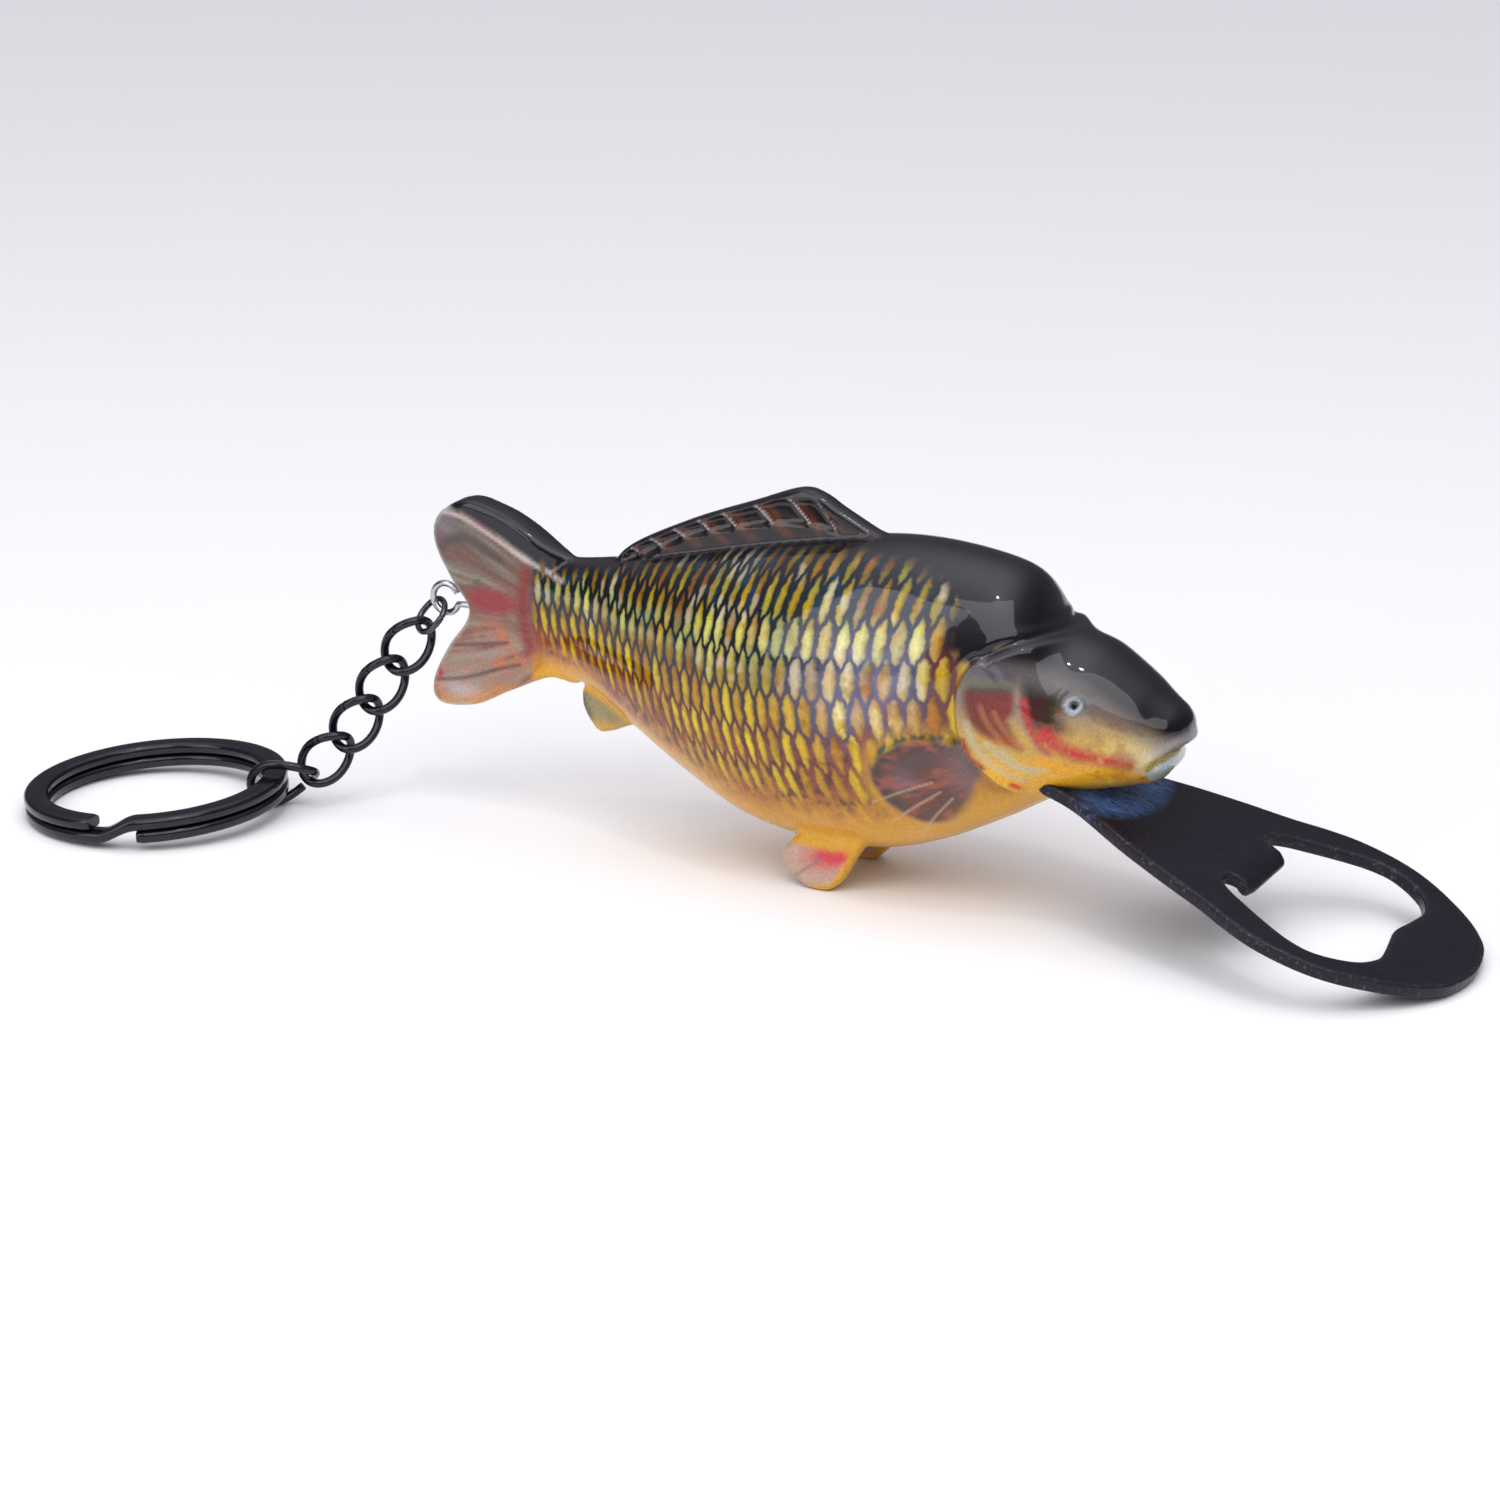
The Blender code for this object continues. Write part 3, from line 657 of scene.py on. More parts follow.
def carve(x, y, z):
    """Height added along the surface's normal, in millimetres."""
    side = smoothstep(0.8, 2.5, np.abs(y))
    tail, dorsal, _, pelvic = fin_masks(x, y, z)
    add = np.zeros(x.shape)
    flank = side * (1 - tail) * (1 - dorsal) * (1 - pelvic)
    dist, sign, share = line_distance(GILL_RIM, x, z)
    inner = dist * sign
    ends = smoothstep(0.0, 0.06, share) * (1 - smoothstep(0.94, 1.0, share))
    cover = smoothstep(-0.30, 0.25, inner) * np.exp(-np.clip(inner, 0, None) / 3.5) * (x > 14)
    add += flank * ends * GILL_RAISE * cover
    add += flank * ends * GILL_LIP * np.exp(-((inner - 0.45) / 0.32) ** 2)
    add -= flank * ends * GILL_GROOVE * np.exp(-((inner + 0.55) / 0.38) ** 2)
    dist, sign, share = line_distance(SHOULDER, x, z)
    outer = dist * sign * -1
    fade = (1 - tail) * (1 - smoothstep(0.75, 1.0, share))
    add -= (1 - tail) * HUMP_LOWER * np.exp(-((x - 25.6) / 2.7) ** 2) * smoothstep(30.6, 33.0, z)
    behind = smoothstep(-0.2, 0.9, -outer) * np.exp(-np.clip(-outer, 0, None) / 2.6)
    add += fade * (0.25 + 0.5 * share) * behind * (x > 10)
    add -= fade * FOLD_GROOVE * np.exp(-((outer - 0.15) / 0.55) ** 2)
    _, signed = patch(PECTORAL, x, z)
    relief = smoothstep(-0.7, 0.5, signed) * flank
    fan, reach = pectoral_fan(x, z)
    rays = 0.5 + 0.5 * np.cos(fan * 22.0)
    add += relief * PECTORAL_RAISE * smoothstep(0.0, 2.5, reach)
    add -= relief * PECTORAL_RAYS * rays * smoothstep(2.5, 6.0, reach)
    r = np.hypot(x - EYE[0], z - EYE[1])
    add += side * 0.12 * np.exp(-((r - 1.35) / 0.7) ** 2)
    add += side * 0.28 * np.exp(-((r - 0.76) / 0.20) ** 2)
    add -= side * 0.12 * np.exp(-((r - 0.45) / 0.17) ** 2)
    add += side * 0.18 * np.exp(-(r / 0.33) ** 2)
    dist, sign, share = line_distance(MOUTH, x, z)
    groove = np.exp(-(dist / 0.26) ** 2) * smoothstep(0.0, 0.12, share)
    add -= MOUTH_GROOVE * groove
    add += 0.22 * np.exp(-((dist * sign - 0.75) / 0.5) ** 2) * (x > 35.5)
    lip = spot(x, z, 37.6, 18.4, 0.9, 0.8)
    add += 0.25 * lip
    cheek = spot(x, z, 25.5, 20.5, 3.2, 3.2) * side
    add += 0.30 * cheek
    above_base, below_top, _, to_corner = facet_places(x, z)
    ramp = 1 - 0.75 * to_corner / FACET_STEP
    recess = smoothstep(0.05, 0.42, to_corner) * smoothstep(-0.05, 0.35, above_base)
    recess *= smoothstep(-0.1, 0.3, below_top)
    facets = (x > FACET_CORNERS[0]) * (x < FACET_CORNERS[-1] + 0.2) * (np.abs(y) < 2.4)
    add -= facets * FACET_DEPTH * recess * ramp
    ribs = smoothstep(-0.3, 0.0, above_base) * smoothstep(-0.3, 0.1, below_top)
    add += facets * FACET_RIB * (1 - recess) * ribs
    tail_rays = 0.5 + 0.5 * np.cos(np.arctan2(z - 24.4, -33.0 - x) * 30)
    add -= tail * TAIL_RAYS * tail_rays * smoothstep(-40.0, -44.0, x)
    dist, sign, _ = line_distance(TAIL_STREAK, x, z)
    add += 0.16 * np.exp(-(dist / 0.45) ** 2) * side * (x < -33.5)
    return add


# ---------------------------------------------------------------- carp print

BLACK_INK = (17, 14, 23)

# Scale cells: column pitch at the tail and what the head adds, row height likewise, and how much
# the columns bow and lean over the flank's height.
CELL_PITCH = 1.42
CELL_PITCH_MORE = 0.68
CELL_ROW = 3.2
CELL_ROW_MORE = 0.75
CELL_BOW = 0.012
CELL_LEAN = 0.13
CELL_SAMPLE = 0.25


def cell_coordinates(x, z):
    """Column and row of the scale cells, which grow towards the head."""
    belly, back = body_profile(x)
    middle = (belly + back) / 2
    along = x - CELL_BOW * (z - middle) ** 2 + CELL_LEAN * (z - middle)
    places = np.linspace(-60.0, 40.0, 401)
    pitch = CELL_PITCH + CELL_PITCH_MORE * smoothstep(-9.0, 4.0, places)
    column = np.interp(along, places, np.cumsum(CELL_SAMPLE / pitch))
    tall = CELL_ROW + CELL_ROW_MORE * smoothstep(-32.0, -6.0, x)
    return column, (z - middle) / tall


# From this share of the height, up to this share, the colour turns into the one given.
GROUND_BANDS = (
    (0.12, 0.30, (122, 58, 30)),
    (0.34, 0.50, (44, 26, 24)),
    (0.54, 0.66, (14, 24, 26)),
    (0.78, 0.94, (12, 18, 30)),
)
CELL_BANDS = (
    (0.12, 0.30, (212, 172, 42)),
    (0.40, 0.50, (200, 164, 46)),
    (0.54, 0.60, (160, 134, 34)),
    (0.62, 0.69, (196, 184, 118)),
    (0.76, 0.84, (172, 142, 50)),
    (0.86, 0.96, (122, 102, 46)),
)


def paint_flank(x, z, t):
    """Ground between the cells and the cells' own colour, by height share t."""
    ground = Paint(x, z, 196, 134, 40)
    for low, high, paint in GROUND_BANDS:
        ground.lay(smoothstep(low, high, t), *paint)
    cells = Paint(x, z, 222, 168, 48)
    for low, high, paint in CELL_BANDS:
        cells.lay(smoothstep(low, high, t), *paint)
    # Pale patch on the flank: partly the print's own pale colour, partly a painted reflection of the front
    # light box.
    pale_print_and_reflection = np.exp(-(((x - 7.0) / 7.5) ** 2 + ((t - 0.60) / 0.16) ** 2))
    pale_print_and_reflection = np.clip(1.3 * pale_print_and_reflection, 0, 1) * (0.7 + 0.3 * value_noise(x, z, 2.2, 33.0))
    ground.lay(pale_print_and_reflection * 0.60, 128, 124, 164)
    cells.lay(pale_print_and_reflection * 0.62, 230, 216, 190)
    gill = smoothstep(3.6, 0.8, np.abs(x - 16.6)) * smoothstep(0.30, 0.42, t) * smoothstep(0.86, 0.72, t)
    ground.lay(gill * 0.8, 104, 44, 26)
    cells.lay(gill * 0.6, 182, 122, 30)
    rear = 1 - smoothstep(-27.0, -12.0, x)
    ground.lay(rear * smoothstep(0.35, 0.2, t) * 0.7, 176, 110, 84)
    cells.lay(rear * smoothstep(0.4, 0.2, t) * 0.7, 206, 158, 110)
    blotch = smoothstep(0.45, 0.7, value_noise(x, z, 1.1, 15.0)) * smoothstep(0.10, 0.22, t)
    ground.lay(blotch * smoothstep(0.5, 0.35, t) * 0.7, 62, 26, 30)
    cells.lay(smoothstep(0.5, 0.8, value_noise(x, z, 1.6, 17.0)) * 0.5, 140, 76, 38)
    pale = smoothstep(0.58, 0.8, value_noise(x, z, 2.8, 27.0)) * smoothstep(0.5, 0.62, t)
    cells.lay(pale * 0.6, 206, 200, 184)
    warm = value_noise(x, z, 3.2, 5.0)
    ground.lay(smoothstep(0.62, 0.85, warm) * smoothstep(0.62, 0.4, t) * 0.55, 150, 66, 48)
    cells.lay(smoothstep(0.6, 0.9, value_noise(x, z, 2.4, 8.0)) * 0.35, 222, 158, 92)
    blue = smoothstep(0.55, 0.9, value_noise(x, z, 2.0, 12.0)) * smoothstep(0.5, 0.66, t)
    ground.lay(blue * 0.6, 18, 60, 84)
    return ground, cells


def paint_head(ground, x, z):
    """Paints the head on the ground and gives the mask of the head."""
    head = smoothstep(-0.25, 0.25, signed_head(x, z))
    skin = Paint(x, z, 128, 116, 104)
    skin.lay(smoothstep(25.5, 21.0, z), 190, 152, 70)
    skin.lay(smoothstep(20.5, 17.5, z), 226, 168, 34)
    skin.lay(smoothstep(33.0, 37.0, x) * smoothstep(24.0, 20.5, z) * 0.8, 204, 190, 150)
    skin.lay(smoothstep(24.0, 18.0, x) * smoothstep(26.8, 29.0, z), 92, 96, 104)
    speckle = value_noise(x, z, 0.7, 71.0)
    skin.lay(spot(x, z, 22.0, 28.0, 2.6, 1.0) * (0.55 + 0.45 * speckle), 52, 48, 96)
    skin.spot(27.0, 27.8, 2.2, 1.0, 0.8, 86, 82, 94)
    first, _ = patch(((18.6, 26.3), (21.0, 26.7), (23.3, 26.5), (23.5, 24.2), (23.0, 23.0), (24.6, 20.2),
                      (22.6, 20.6), (20.6, 21.4), (19.1, 23.0)), x, z, 0.55)
    skin.line(((18.5, 27.1), (21.0, 27.2), (23.4, 26.9)), 0.3, 0.6, 0.7, 96, 104, 60)
    red = Paint(x, z, 104, 18, 2)
    red.lay(smoothstep(20.0, 23.5, x + 1.2 * speckle), 116, 16, 6)
    red.lay(smoothstep(25.4, 26.6, z) * 0.85, 44, 52, 30)
    red.lay(smoothstep(22.0, 20.6, z) * 0.5, 176, 78, 34)
    skin.lay(first * 0.95, red)
    for line in (((20.2, 24.6), (20.9, 22.9), (22.3, 21.1)), ((21.6, 24.0), (22.5, 22.4), (24.0, 20.6))):
        skin.line(line, 0.12, 0.4, 0.4, 196, 140, 80)
    second, _ = patch(((24.3, 27.2), (26.2, 27.0), (28.0, 26.2), (28.4, 24.2), (28.9, 22.6), (27.0, 21.7),
                       (25.2, 22.4), (24.4, 24.8)), x, z, 0.9)
    dark = Paint(x, z, 64, 14, 24)
    dark.lay(smoothstep(25.4, 27.4, x), 40, 34, 20)
    dark.lay(smoothstep(25.8, 27.0, z + 0.6 * speckle) * 0.8, 36, 62, 56)
    dark.lay(smoothstep(23.6, 21.8, z) * 0.6, 134, 70, 26)
    skin.lay(second * 0.95, dark)
    skin.line(((24.4, 25.4), (25.0, 23.2), (26.2, 20.9), (27.0, 19.9)), 0.26, 0.5, 0.85, 170, 44, 34)
    fold = ((23.8, 27.8), (23.8, 25.4), (24.5, 23.0), (25.9, 20.8), (27.8, 19.0))
    skin.line(fold, 0.12, 0.35, 0.4, 160, 124, 122)
    cheek_line = ((26.9, 21.9), (28.2, 20.9), (29.8, 20.2), (32.0, 19.7), (34.8, 19.3))
    cheek = stroke(cheek_line, x, z, 0.62, 0.9, 0.4)
    skin.lay(cheek * (0.75 + 0.25 * speckle), 190, 18, 34)
    skin.line(((26.4, 18.8), (29.5, 18.1), (33.0, 17.6), (36.6, 16.9)), 0.6, 0.8, 1, 226, 162, 14)
    mottle = value_noise(x, z, 1.3, 73.0)
    brown = smoothstep(0.5, 0.75, mottle) * smoothstep(26.5, 29.0, x) * (z < 25)
    skin.lay(brown * 0.35, 150, 100, 60)
    straw = smoothstep(0.45, 0.2, mottle) * smoothstep(30.0, 33.0, x) * (z < 23)
    skin.lay(straw * 0.4, 222, 196, 120)
    for line in (((18.9, 22.6), (19.9, 20.0), (21.7, 17.9), (24.2, 16.5)),
                 ((20.9, 20.6), (22.6, 18.7), (25.4, 17.3)), ((22.4, 19.9), (24.2, 18.2), (26.4, 17.9))):
        skin.line(line, 0.16, 0.5, 0.6, 180, 182, 160)
    skin.line(((18.5, 20.9), (19.3, 19.1), (20.4, 17.8)), 0.2, 0.3, 1, 140, 30, 26)
    skin.line(((23.0, 15.9), (23.5, 15.6)), 0.2, 0.35, 1, 196, 44, 34)
    above = above_line(HEAD_EDGE, x, z)
    skin.lay(smoothstep(-3.2, -0.8, above) * 0.75, 88, 82, 84)
    skin.lay(smoothstep(-1.1, 0.9, above), *BLACK_INK)
    dist, sign, _ = line_distance(MOUTH, x, z)
    low_lip = (x > 36.3) * smoothstep(0.05, 0.3, -dist * sign) * smoothstep(16.6, 17.4, z)
    skin.lay(low_lip * smoothstep(2.3, 1.9, dist), 182, 190, 190)
    upper_lip = stroke(((35.4, 19.7), (37.0, 20.5), (38.6, 21.3), (39.6, 21.7)), x, z, 0.34, 0.5)
    skin.lay(upper_lip * smoothstep(35.5, 37.5, x) * 0.5, 166, 158, 162)
    skin.lay((1 - smoothstep(0.12, 0.34, dist)) * (x > 36.2), 150, 138, 34)
    r = np.hypot(x - EYE[0], z - EYE[1])
    skin.line(((28.0, 25.6), (28.6, 26.9), (29.8, 27.2), (30.9, 26.5)), 0.25, 0.4, 0.5, 66, 62, 66)
    skin.lay((1 - smoothstep(0.95, 1.3, r)) * 0.6, 84, 82, 84)
    skin.lay(1 - smoothstep(0.84, 0.98, r), 160, 168, 174)
    skin.lay((1 - smoothstep(0.46, 0.60, r)) * 0.85, 84, 92, 100)
    skin.lay(1 - smoothstep(0.33, 0.44, r), 6, 6, 8)
    ground.lay(head, skin)
    return head


def signed_head(x, z):
    """Plus in front of the gill cover's rim."""
    dist, sign, _ = line_distance(((23.0, 31.6), *GILL_RIM, (27.0, 12.0)), x, z)
    return dist * sign


def above_line(points, x, z):
    table = smooth_curve(points, 6)
    return z - np.interp(x, table[:, 0], table[:, 1])


def paint_pectoral(ground, x, z):
    """Paints the pectoral fin on the ground and gives its mask."""
    cover, signed = patch(PECTORAL, x, z, 0.6)
    fan, reach = pectoral_fan(x, z)
    ground.lay(smoothstep(-2.6, -0.2, signed) * 0.55, 206, 150, 40)
    fin = Paint(x, z, 84, 50, 48)
    fin.lay(smoothstep(2.2, 0.4, signed) * smoothstep(15.0, 10.0, x) * 0.85, 36, 30, 46)
    fin.lay(smoothstep(2.2, 0.4, signed) * smoothstep(16.0, 19.0, z) * 0.8, 34, 40, 44)
    streaks = value_noise(fan * 9.0, reach * 0.35, 1.0, 3.0)
    fin.lay(smoothstep(0.5, 0.8, streaks) * 0.8, 148, 74, 66)
    fin.lay(smoothstep(0.45, 0.15, streaks) * 0.55, 58, 56, 74)
    fin.lay(smoothstep(6.0, 2.0, reach) * 0.6, 120, 96, 100)
    fin.lay(np.exp(-(np.hypot(x - 12.0, z - 15.4) / 1.3) ** 2) * 0.3, 104, 112, 146)
    ground.lay(cover * 0.94, fin)
    for tip in ((8.0, 12.2), (9.6, 9.8), (12.2, 8.3)):
        ends = []
        for share in (0.45, 0.72, 1.0):
            ends.append((PECTORAL_ROOT[0] * (1 - share) + tip[0] * share,
                         PECTORAL_ROOT[1] * (1 - share) + tip[1] * share + 0.5 * math.sin(math.pi * share)))
        ground.line(ends, 0.02, 0.22, 0.7, 206, 178, 140)
    edge = ((18.8, 20.2), (16.0, 20.7), (13.2, 20.5), (10.6, 19.4), (8.8, 17.8))
    ground.line(edge, 0.22, 0.35, 0.9, 16, 62, 44)
    return cover


def paint_fins(colour, x, y, z):
    """Paints tail, back fin, vent fin and belly fins; gives the masks of all fins and the back fin."""
    tail, dorsal, anal, pelvic = fin_masks(x, y, z)
    lower = smoothstep(25.0, 21.0, z)
    skin = Paint(x, z, 112, 98, 82)
    skin.lay(lower, 152, 116, 98)
    ray = value_noise(np.arctan2(z - 24.0, -30.0 - x) * 26.0, x * 0.16, 1.0, 21.0)
    skin.lay(smoothstep(0.52, 0.78, ray) * 0.7, 104, 56, 50)
    skin.lay(smoothstep(0.42, 0.12, ray) * 0.6, 152, 146, 132)
    cloud = value_noise(x, z, 2.1, 23.0)
    skin.lay(smoothstep(0.55, 0.8, cloud) * lower * 0.6, 196, 104, 62)
    skin.lay(smoothstep(0.5, 0.2, cloud) * (1 - lower) * 0.55, 74, 76, 62)
    skin.spot(-49.0, 33.6, 2.0, 1.6, 0.35, 120, 128, 150)
    arc_line = ((-49.6, 30.9), (-48.4, 31.9), (-46.7, 32.3), (-44.1, 31.5), (-41.8, 30.6))
    skin.line(arc_line, 0.3, 0.8, 0.7, 58, 58, 56)
    notch = spot(x, z, -43.0, 25.4, 3.6, 1.5)
    skin.lay(np.clip(1.5 * notch, 0, 1) * 0.9, 146, 34, 42)
    root_line = ((-38.5, 29.6), (-38.9, 26.4), (-38.8, 23.5), (-38.4, 21.3), (-37.6, 19.6))
    skin.line(root_line, 0.5, 1.1, 0.9, 128, 34, 32)
    low_edge = smoothstep(16.4, 13.6, z - 0.22 * (x + 44.0)) * (z < 20)
    skin.lay(low_edge * 0.75, 206, 144, 56)
    skin.spot(-47.5, 14.6, 2.6, 1.0, 0.7, 186, 176, 178)
    for line in (LOWER_RAY, MIDDLE_RAY):
        skin.line(line, 0.12, 0.3, 0.8, 64, 34, 50)
    skin.line(((-50.4, 17.0), (-50.1, 16.2)), 0.3, 0.4, 1, 180, 24, 34)
    left = patch(TAIL_OUTLINE, x, z, 0.3)[1]
    skin.lay(smoothstep(0.9, 0.2, left) * (x < -46.0) * 0.8, 186, 190, 182)
    over = above_line(TAIL_STREAK, x, z)
    skin.lay(smoothstep(0.45, 0.9, over) * (z > 27.0), *BLACK_INK)
    skin.line(TAIL_STREAK, 0.16, 0.25, 0.85, 196, 172, 172)
    colour.lay(tail, skin)
    root = smoothstep(-38.8, -36.5, x) * (1 - smoothstep(-36.0, -31.0, x)) * (z > 27.5)
    colour.lay(root * smoothstep(0.4, 0.9, over), *BLACK_INK)
    colour.line(TAIL_STREAK[-3:], 0.2, 0.3, 0.8, 186, 178, 176)
    body_band = stroke(((-38.4, 28.6), (-38.3, 25.0), (-37.9, 21.5), (-37.2, 19.2)), x, z, 0.3, 1.6)
    colour.lay(body_band * (1 - tail) * 0.55 * (z < 30), 140, 46, 40)
    back = Paint(x, z, 26, 20, 22)
    mottle = value_noise(x, z, 0.9, 31.0)
    above_base, below_top, phase, to_corner = facet_places(x, z)
    stripe = 0.5 + 0.5 * np.cos(2 * math.pi * (phase - 0.12))
    brown = stripe ** 3 * (0.3 + 0.7 * mottle) * smoothstep(-2.5, -0.5, above_base)
    back.lay(brown * 0.7, 116, 62, 34)
    # Painted highlight: pale grey lines painted along the rims of the back fin's recesses, where they catch
    # the light.
    rim = np.exp(-((to_corner - 0.14) / 0.16) ** 2) * smoothstep(0.1, 0.5, above_base)
    back.lay(rim * (x < 0.2) * 0.85, 206, 200, 200)
    back.lay(smoothstep(-0.1, 0.3, -below_top), *BLACK_INK)
    colour.lay(dorsal, back)
    vent = Paint(x, z, 150, 138, 96)
    ray = value_noise(x + 0.5 * z, z * 0.2, 0.8, 41.0)
    vent.lay(smoothstep(0.5, 0.8, ray) * 0.7, 86, 76, 58)
    vent.lay(smoothstep(14.0, 12.4, z) * 0.8, 206, 158, 64)
    colour.lay(anal, vent)
    foot = Paint(x, z, 186, 160, 142)
    flush = np.exp(-(((x - 2.0) / 3.0) ** 2 + ((z - 3.9 - 0.22 * x) / 1.5) ** 2))
    foot.lay(np.clip(1.3 * flush, 0, 1), 206, 52, 62)
    foot.spot(-1.0, 5.6, 1.2, 0.7, 0.8, 206, 92, 40)
    rim = patch(PELVIC_OUTLINE, x, z, 0.3)[1]
    foot.lay(smoothstep(1.1, 0.3, rim) * smoothstep(-2.0, 0.5, x) * (z < 6.5), 218, 160, 16)
    foot.line(((-2.4, 1.4), (-0.6, 2.8), (0.6, 3.8)), 0.1, 0.25, 0.6, 120, 100, 106)
    colour.lay(pelvic, foot)
    return np.clip(tail + dorsal + anal + pelvic, 0, 1), dorsal


def read_vertices(mesh, what="co"):
    values = np.empty(len(mesh.vertices) * 3)
    mesh.vertices.foreach_get(what, values)
    return values.reshape(-1, 3)


def paint_carp(mesh):
    count = len(mesh.vertices)
    x, y, z = (read_vertices(mesh) / MM - ORIGIN).T
    belly, back = body_profile(x)
    t = np.clip((z - belly) / (back - belly), 0, 1)
    ground, cells = paint_flank(x, z, t)
    golden = smoothstep(0.22, 0.05, t)
    ground.lay(golden, 214, 156, 26)
    cloud = smoothstep(0.4, 0.8, value_noise(x, y, 4.0, 51.0))
    ground.lay(golden * cloud * 0.4, 222, 166, 74)
    fin_cover = paint_pectoral(ground, x, z)
    head = paint_head(ground, x, z)
    edge = above_line(BLACK_EDGE, x, z) + 0.5 * (value_noise(x, z, 0.8, 61.0) - 0.5)
    black = smoothstep(-0.9, 0.5, edge) * (x < 18.6) * (x > -39.5)
    shoulder = smoothstep(-0.4, 0.6, -signed_head(x, z))
    shoulder = shoulder * smoothstep(14.6, 17.0, x) * smoothstep(28.6, 30.4, z)
    nape = smoothstep(-0.3, 0.8, above_line(SHOULDER[::-1], x, z)) * (x > 17.5) * (x < 28.0)
    black = np.maximum(black, np.maximum(shoulder, nape))
    ground.lay(black, *BLACK_INK)
    fins, dorsal = paint_fins(ground, x, y, z)
    column, row = cell_coordinates(x, z)
    amount = smoothstep(0.06, 0.26, t) * (1 - black) * (1 - head) * (1 - fins) * (1 - fin_cover)
    amount *= smoothstep(-38.6, -36.4, x) * (0.55 + 0.45 * smoothstep(0.1, 0.4, t))
    upper = smoothstep(0.5, 0.7, t) * (1 - head)
    grain = np.clip(0.46 + 0.12 * head * (1 - black) + 0.14 * fins * (1 - dorsal), 0, 1) * (1 - 0.8 * black)
    for name, data in (("ground", ground), ("cell", cells)):
        layer = mesh.attributes.new(name, "FLOAT_COLOR", "POINT")
        rgba = np.ones((count, 4))
        rgba[:, :3] = np.clip(data.colour, 0, 1)
        layer.data.foreach_set("color", rgba.ravel())
    layer = mesh.attributes.new("scale_map", "FLOAT_VECTOR", "POINT")
    layer.data.foreach_set("vector", np.stack([column, row, np.clip(amount, 0, 1)], 1).ravel())
    fill = 0.40 - 0.11 * smoothstep(0.70, 0.88, t) - 0.07 * smoothstep(0.5, 0.35, t)
    fill = fill - 0.06 * smoothstep(-14.0, -26.0, x) + 0.05 * (value_noise(x, z, 2.6, 91.0) - 0.5)
    for name, data in (("upper", upper), ("grain", grain), ("fill", fill)):
        layer = mesh.attributes.new(name, "FLOAT", "POINT")
        layer.data.foreach_set("value", data.astype(np.float32))


def relax(mesh, rounds):
    """Evens the surface by moving points to the middle of their neighbours."""
    count = len(mesh.vertices)
    edges = np.empty(len(mesh.edges) * 2, np.int64)
    mesh.edges.foreach_get("vertices", edges)
    a, b = edges.reshape(-1, 2).T
    degree = np.bincount(a, minlength=count) + np.bincount(b, minlength=count)
    points = read_vertices(mesh)
    for _ in range(rounds):
        for weight in (0.55, -0.50):
            total = np.empty_like(points)
            for axis in range(3):
                total[:, axis] = np.bincount(a, points[b, axis], count)
                total[:, axis] += np.bincount(b, points[a, axis], count)
            points = points + weight * (total / degree[:, None] - points)
    mesh.vertices.foreach_set("co", points.ravel())
    mesh.update()


def make_carp(look):
    pieces = [
        body_mesh(),
        blade(TAIL_OUTLINE, 1.9, 0.9, root=(-32.0, -38.0)),
        blade(DORSAL_OUTLINE, 1.3, 0.8),
        blade(ANAL_OUTLINE, 1.1, 0.7),
    ]
    for side in (1, -1):
        pieces.append(blade(PELVIC_OUTLINE, 1.25, 0.7, centre_y=side * PELVIC_Y, lean=side * -0.10))
    carp = finish_mesh(join_parts(pieces), "printed_carp")
    remesh = carp.modifiers.new("skin", "REMESH")
    remesh.mode = "VOXEL"
    remesh.voxel_size = VOXEL * MM
    apply_modifiers(carp)
    mesh = carp.data
    relax(mesh, 5)
    points = read_vertices(mesh)
    normals = read_vertices(mesh, "normal")
    x, y, z = (points / MM - ORIGIN).T
    points = points + normals * (carve(x, y, z) * MM)[:, None]
    mesh.vertices.foreach_set("co", points.ravel())
    mesh.update()
    relax(mesh, 1)
    paint_carp(mesh)
    mesh.shade_smooth()
    mesh.materials.append(look)
    return carp


# ---------------------------------------------------------------- plate

PLATE_SLOPE = math.radians(18.2)
PLATE_THICK = 1.4
PLATE_LENGTH = 74.6
PLATE_ORIGIN_Z = PLATE_LENGTH * math.sin(PLATE_SLOPE) + PLATE_THICK * math.cos(PLATE_SLOPE)
TONGUE_START = 9.0
TONGUE_HALF = 4.6
PLATE_EDGE = (
    (27.5, 6.1), (29.8, 6.2), (31.8, 6.7), (33.6, 7.5), (36.0, 8.7), (39.0, 10.1), (44.0, 12.0),
    (48.5, 13.5), (52.0, 15.0),
    (55.2, 16.0), (58.3, 16.25), (61.4, 15.9), (64.2, 14.9), (67.0, 13.2), (70.0, 10.8),
    (72.2, 8.3), (73.8, 5.2), (PLATE_LENGTH, 0.0),
)
HOLE_EDGE = (
    (49.2, 8.1), (50.4, 9.1), (53.0, 10.6), (55.7, 12.0), (58.2, 13.0), (60.6, 13.2),
    (62.9, 12.2), (64.9, 10.5), (66.0, 8.4), (66.3, 6.6), (65.9, 3.4), (65.4, 0.0),
)
HOLE_START_U = 48.5
LIP_HALF = 5.2
LIP_END_U = 50.2
LIP_TOE = 1.35
LIP_BEND = math.radians(36)
BEND_START_U = 49.65
BEND_RADIUS = 1.0
EDGE_ROUND = 0.28


def plate_point(u, v, w):
    """Point on the plate: u along the slope, v across, w above the top face."""
    c = math.cos(PLATE_SLOPE)
    s = math.sin(PLATE_SLOPE)
    return Vector((u * c + w * s, v, PLATE_ORIGIN_Z - u * s + w * c))


